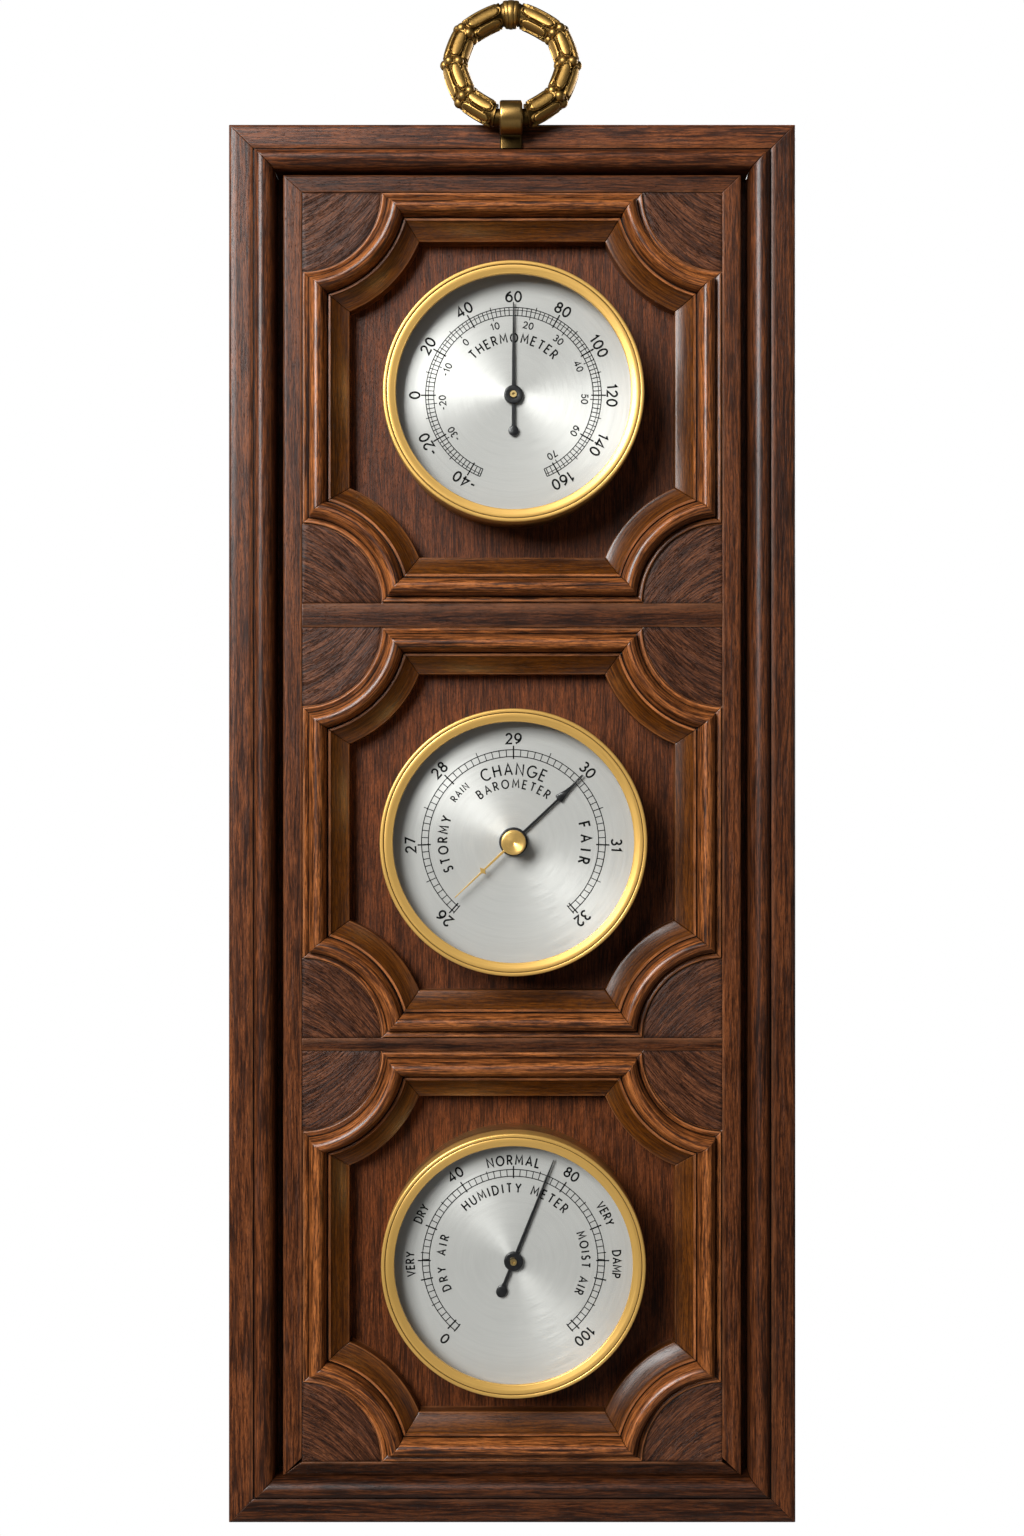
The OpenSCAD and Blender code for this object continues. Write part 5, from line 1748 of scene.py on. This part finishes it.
    def set_parts(self, angle: float) -> None:
        """Builds the brass set hand under the glass and its dished knob in front."""
        brass, low = self.finish.knob_brass, self.set_hand_h
        diamond = [[14.4, 0.34], [15.0, 0.9], [15.4, 1.7], [15.8, 0.9], [16.4, 0.34]]
        mesh = self.blade(angle, [[2.4, 0.5], *diamond, [29.6, 0.16]], 0.4, low + 0.1)
        boss = [[1.65, low], [3.0, low], [3.0, low + 0.6], [2.8, low + 0.7], [1.65, low + 0.7]]
        turned(mesh, np.array(boss), self.centre, 48)
        fit(mesh, "set_hand", "blade", brass, "setting_hand", "knob_brass", sharp=40.0)
        r, base, stem = self.knob_r, self.knob_base, 1.6
        profile = chain(
            [[0.0, low], [stem, low], [stem, base], [r - 0.15, base], [r, base + 0.15], [r, base + 3.0]],
            arc(r - 0.6, base + 3.0, 0.6, 0.6, 0.0, 90.0, 6),
            [[3.2, base + 3.55], [1.6, base + 3.35], [0.7, base + 3.15]],
            [[0.3, base + 2.9], [0.0, base + 2.85]],
        )
        mesh = Mesh()
        turned(mesh, profile, self.centre, 96)
        fit(mesh, "set_knob", "turned", brass, "setting_hand", "knob_brass", sharp=35.0)

    def build(self) -> None:
        """Builds every piece of the gauge that shows."""
        self.bezel()
        self.dial()
        self.printing()
        self.cased()
        if self.kind is GaugeKind.THERMOMETER:
            self.plain_pointer(0.0, 34.0, 13.2, 1.9, 1.0)
        elif self.kind is GaugeKind.HYGROMETER:
            self.plain_pointer(21.7, 40.0, 11.8, 2.0, 1.15)
        else:
            self.arrow_pointer(46.5)
            self.set_parts(226.5)


@dataclass
class Studio:
    """Camera, lights and the plain pale surroundings."""

    look_at: Point = (-0.00005, -0.22743)
    band_plane: float = 0.022
    distance: float = 0.70
    lens: float = 44.36
    aim: tuple[float, float, float] = (0.0, -0.02, -0.24)
    room_light: float = 0.045
    floor_shade: float = 0.20
    floor_half: float = 12.0
    floor_level: float = -1.5

    def camera(self) -> None:
        """Stands the camera straight in front of the board, level, as in the photograph."""
        data = bpy.data.cameras.new("camera")
        data.lens = self.lens
        data.sensor_width = 36.0
        data.clip_start = 0.01
        camera = bpy.data.objects.new("camera", data)
        camera.location = (self.look_at[0], -self.band_plane - self.distance, self.look_at[1])
        camera.rotation_euler = (math.pi / 2.0, 0.0, 0.0)
        bpy.context.scene.collection.objects.link(camera)
        bpy.context.scene.camera = camera

    def lamp(self, name: str, at: tuple[float, float, float], size: float, power: float) -> None:
        """Hangs a soft square lamp that faces the middle of the board.

        Args:
            name: Name of the lamp.
            at: Its place in metres.
            size: Side of the square in metres.
            power: Watts.
        """
        data = bpy.data.lights.new(name, "AREA")
        data.size = size
        data.energy = power
        lamp = bpy.data.objects.new(name, data)
        lamp.location = at
        lamp.rotation_mode = "QUATERNION"
        lamp.rotation_quaternion = (Vector(self.aim) - Vector(at)).to_track_quat("-Z", "Y")
        bpy.context.scene.collection.objects.link(lamp)

    def surroundings(self) -> None:
        """Makes the white room and a pale floor well below the hanging board."""
        world = bpy.data.worlds.new("room")
        bpy.context.scene.world = world
        world.use_nodes = True
        tree = world.node_tree
        tree.nodes.clear()
        output = tree.nodes.new("ShaderNodeOutputWorld")
        lit, seen = tree.nodes.new("ShaderNodeBackground"), tree.nodes.new("ShaderNodeBackground")
        lit.inputs["Color"].default_value = (0.95, 0.97, 1.0, 1.0)
        lit.inputs["Strength"].default_value = self.room_light
        seen.inputs["Color"].default_value = (1.0, 1.0, 1.0, 1.0)
        seen.inputs["Strength"].default_value = 1.0
        path = tree.nodes.new("ShaderNodeLightPath")
        both = tree.nodes.new("ShaderNodeMixShader")
        tree.links.new(path.outputs["Is Camera Ray"], both.inputs[0])
        tree.links.new(lit.outputs[0], both.inputs[1])
        tree.links.new(seen.outputs[0], both.inputs[2])
        tree.links.new(both.outputs[0], output.inputs["Surface"])
        s = Shader("pale_floor")
        plain = s.node("BsdfDiffuse")
        plain.inputs["Color"].default_value = (self.floor_shade, self.floor_shade, self.floor_shade, 1.0)
        s.either(s.node("LightPath").outputs["Is Camera Ray"], plain, s.node("Emission"))
        mesh = bpy.data.meshes.new("floor")
        size, level = self.floor_half, self.floor_level
        corners = [(-size, -size, level), (size, -size, level), (size, size, level), (-size, size, level)]
        mesh.from_pydata(corners, [], [(0, 1, 2, 3)])
        mesh.materials.append(s.material)
        floor = bpy.data.objects.new("floor", mesh)
        bpy.context.scene.collection.objects.link(floor)

    def build(self) -> None:
        """Sets the camera, the room and the lamps."""
        self.camera()
        self.surroundings()
        self.lamp("key", (-1.22, -1.83, 0.78), 1.25, 104.0)
        self.lamp("window", (-0.30, -1.7, 1.2), 1.1, 3.0)
        self.lamp("fill", (1.1, -1.3, 0.0), 1.0, 1.1)
        self.lamp("low_card", (0.35, -1.1, -1.35), 1.1, 0.5)
        self.lamp("behind", (0.7, 1.5, 0.5), 1.0, 22.0)
        self.lamp("right_side", (1.5, 0.75, 0.1), 1.0, 6.0)
        self.lamp("left_side", (-1.5, 0.75, 0.1), 1.0, 6.0)
        bpy.context.scene.view_settings.view_transform = "Standard"


def hidden_works(nodes: dict[str, bpy.types.Object], finish: Finishes) -> None:
    """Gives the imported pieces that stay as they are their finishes.

    Args:
        nodes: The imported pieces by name.
        finish: The station's finishes.
    """
    kept = {
        "back_panel": finish.panel,
        "keyhole_plate": finish.steel,
        "keyhole_screws": finish.movement_brass,
        "case_screws": finish.steel,
        "bridge_screws": finish.steel,
        "barometer_movement_screws": finish.steel,
        "barometer_base_plate": finish.steel,
        "aneroid_capsule": finish.capsule,
        "main_spring": finish.spring_steel,
        "hairspring": finish.spring_steel,
        "bimetal_coil": finish.spring_steel,
        "humidity_coil": finish.coil_film,
    }
    for name, node in nodes.items():
        chosen = finish.glass if name.endswith("_lens") else kept.get(name, finish.movement_brass)
        node.data.materials.clear()
        node.data.materials.append(chosen)


def main() -> None:
    """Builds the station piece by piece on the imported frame."""
    logging.basicConfig(level=logging.INFO, format="%(message)s")
    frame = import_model()
    nodes = frame["nodes"]
    finish = Finishes()
    hidden_works(nodes, finish)
    Studio().build()
    Board(finish).build()
    Hanger(finish).build()
    letters = Lettering()
    for kind in GaugeKind:
        Gauge(kind, finish, letters, nodes[f"{kind.value}_case"]).build()


if __name__ == "__main__":
    main()
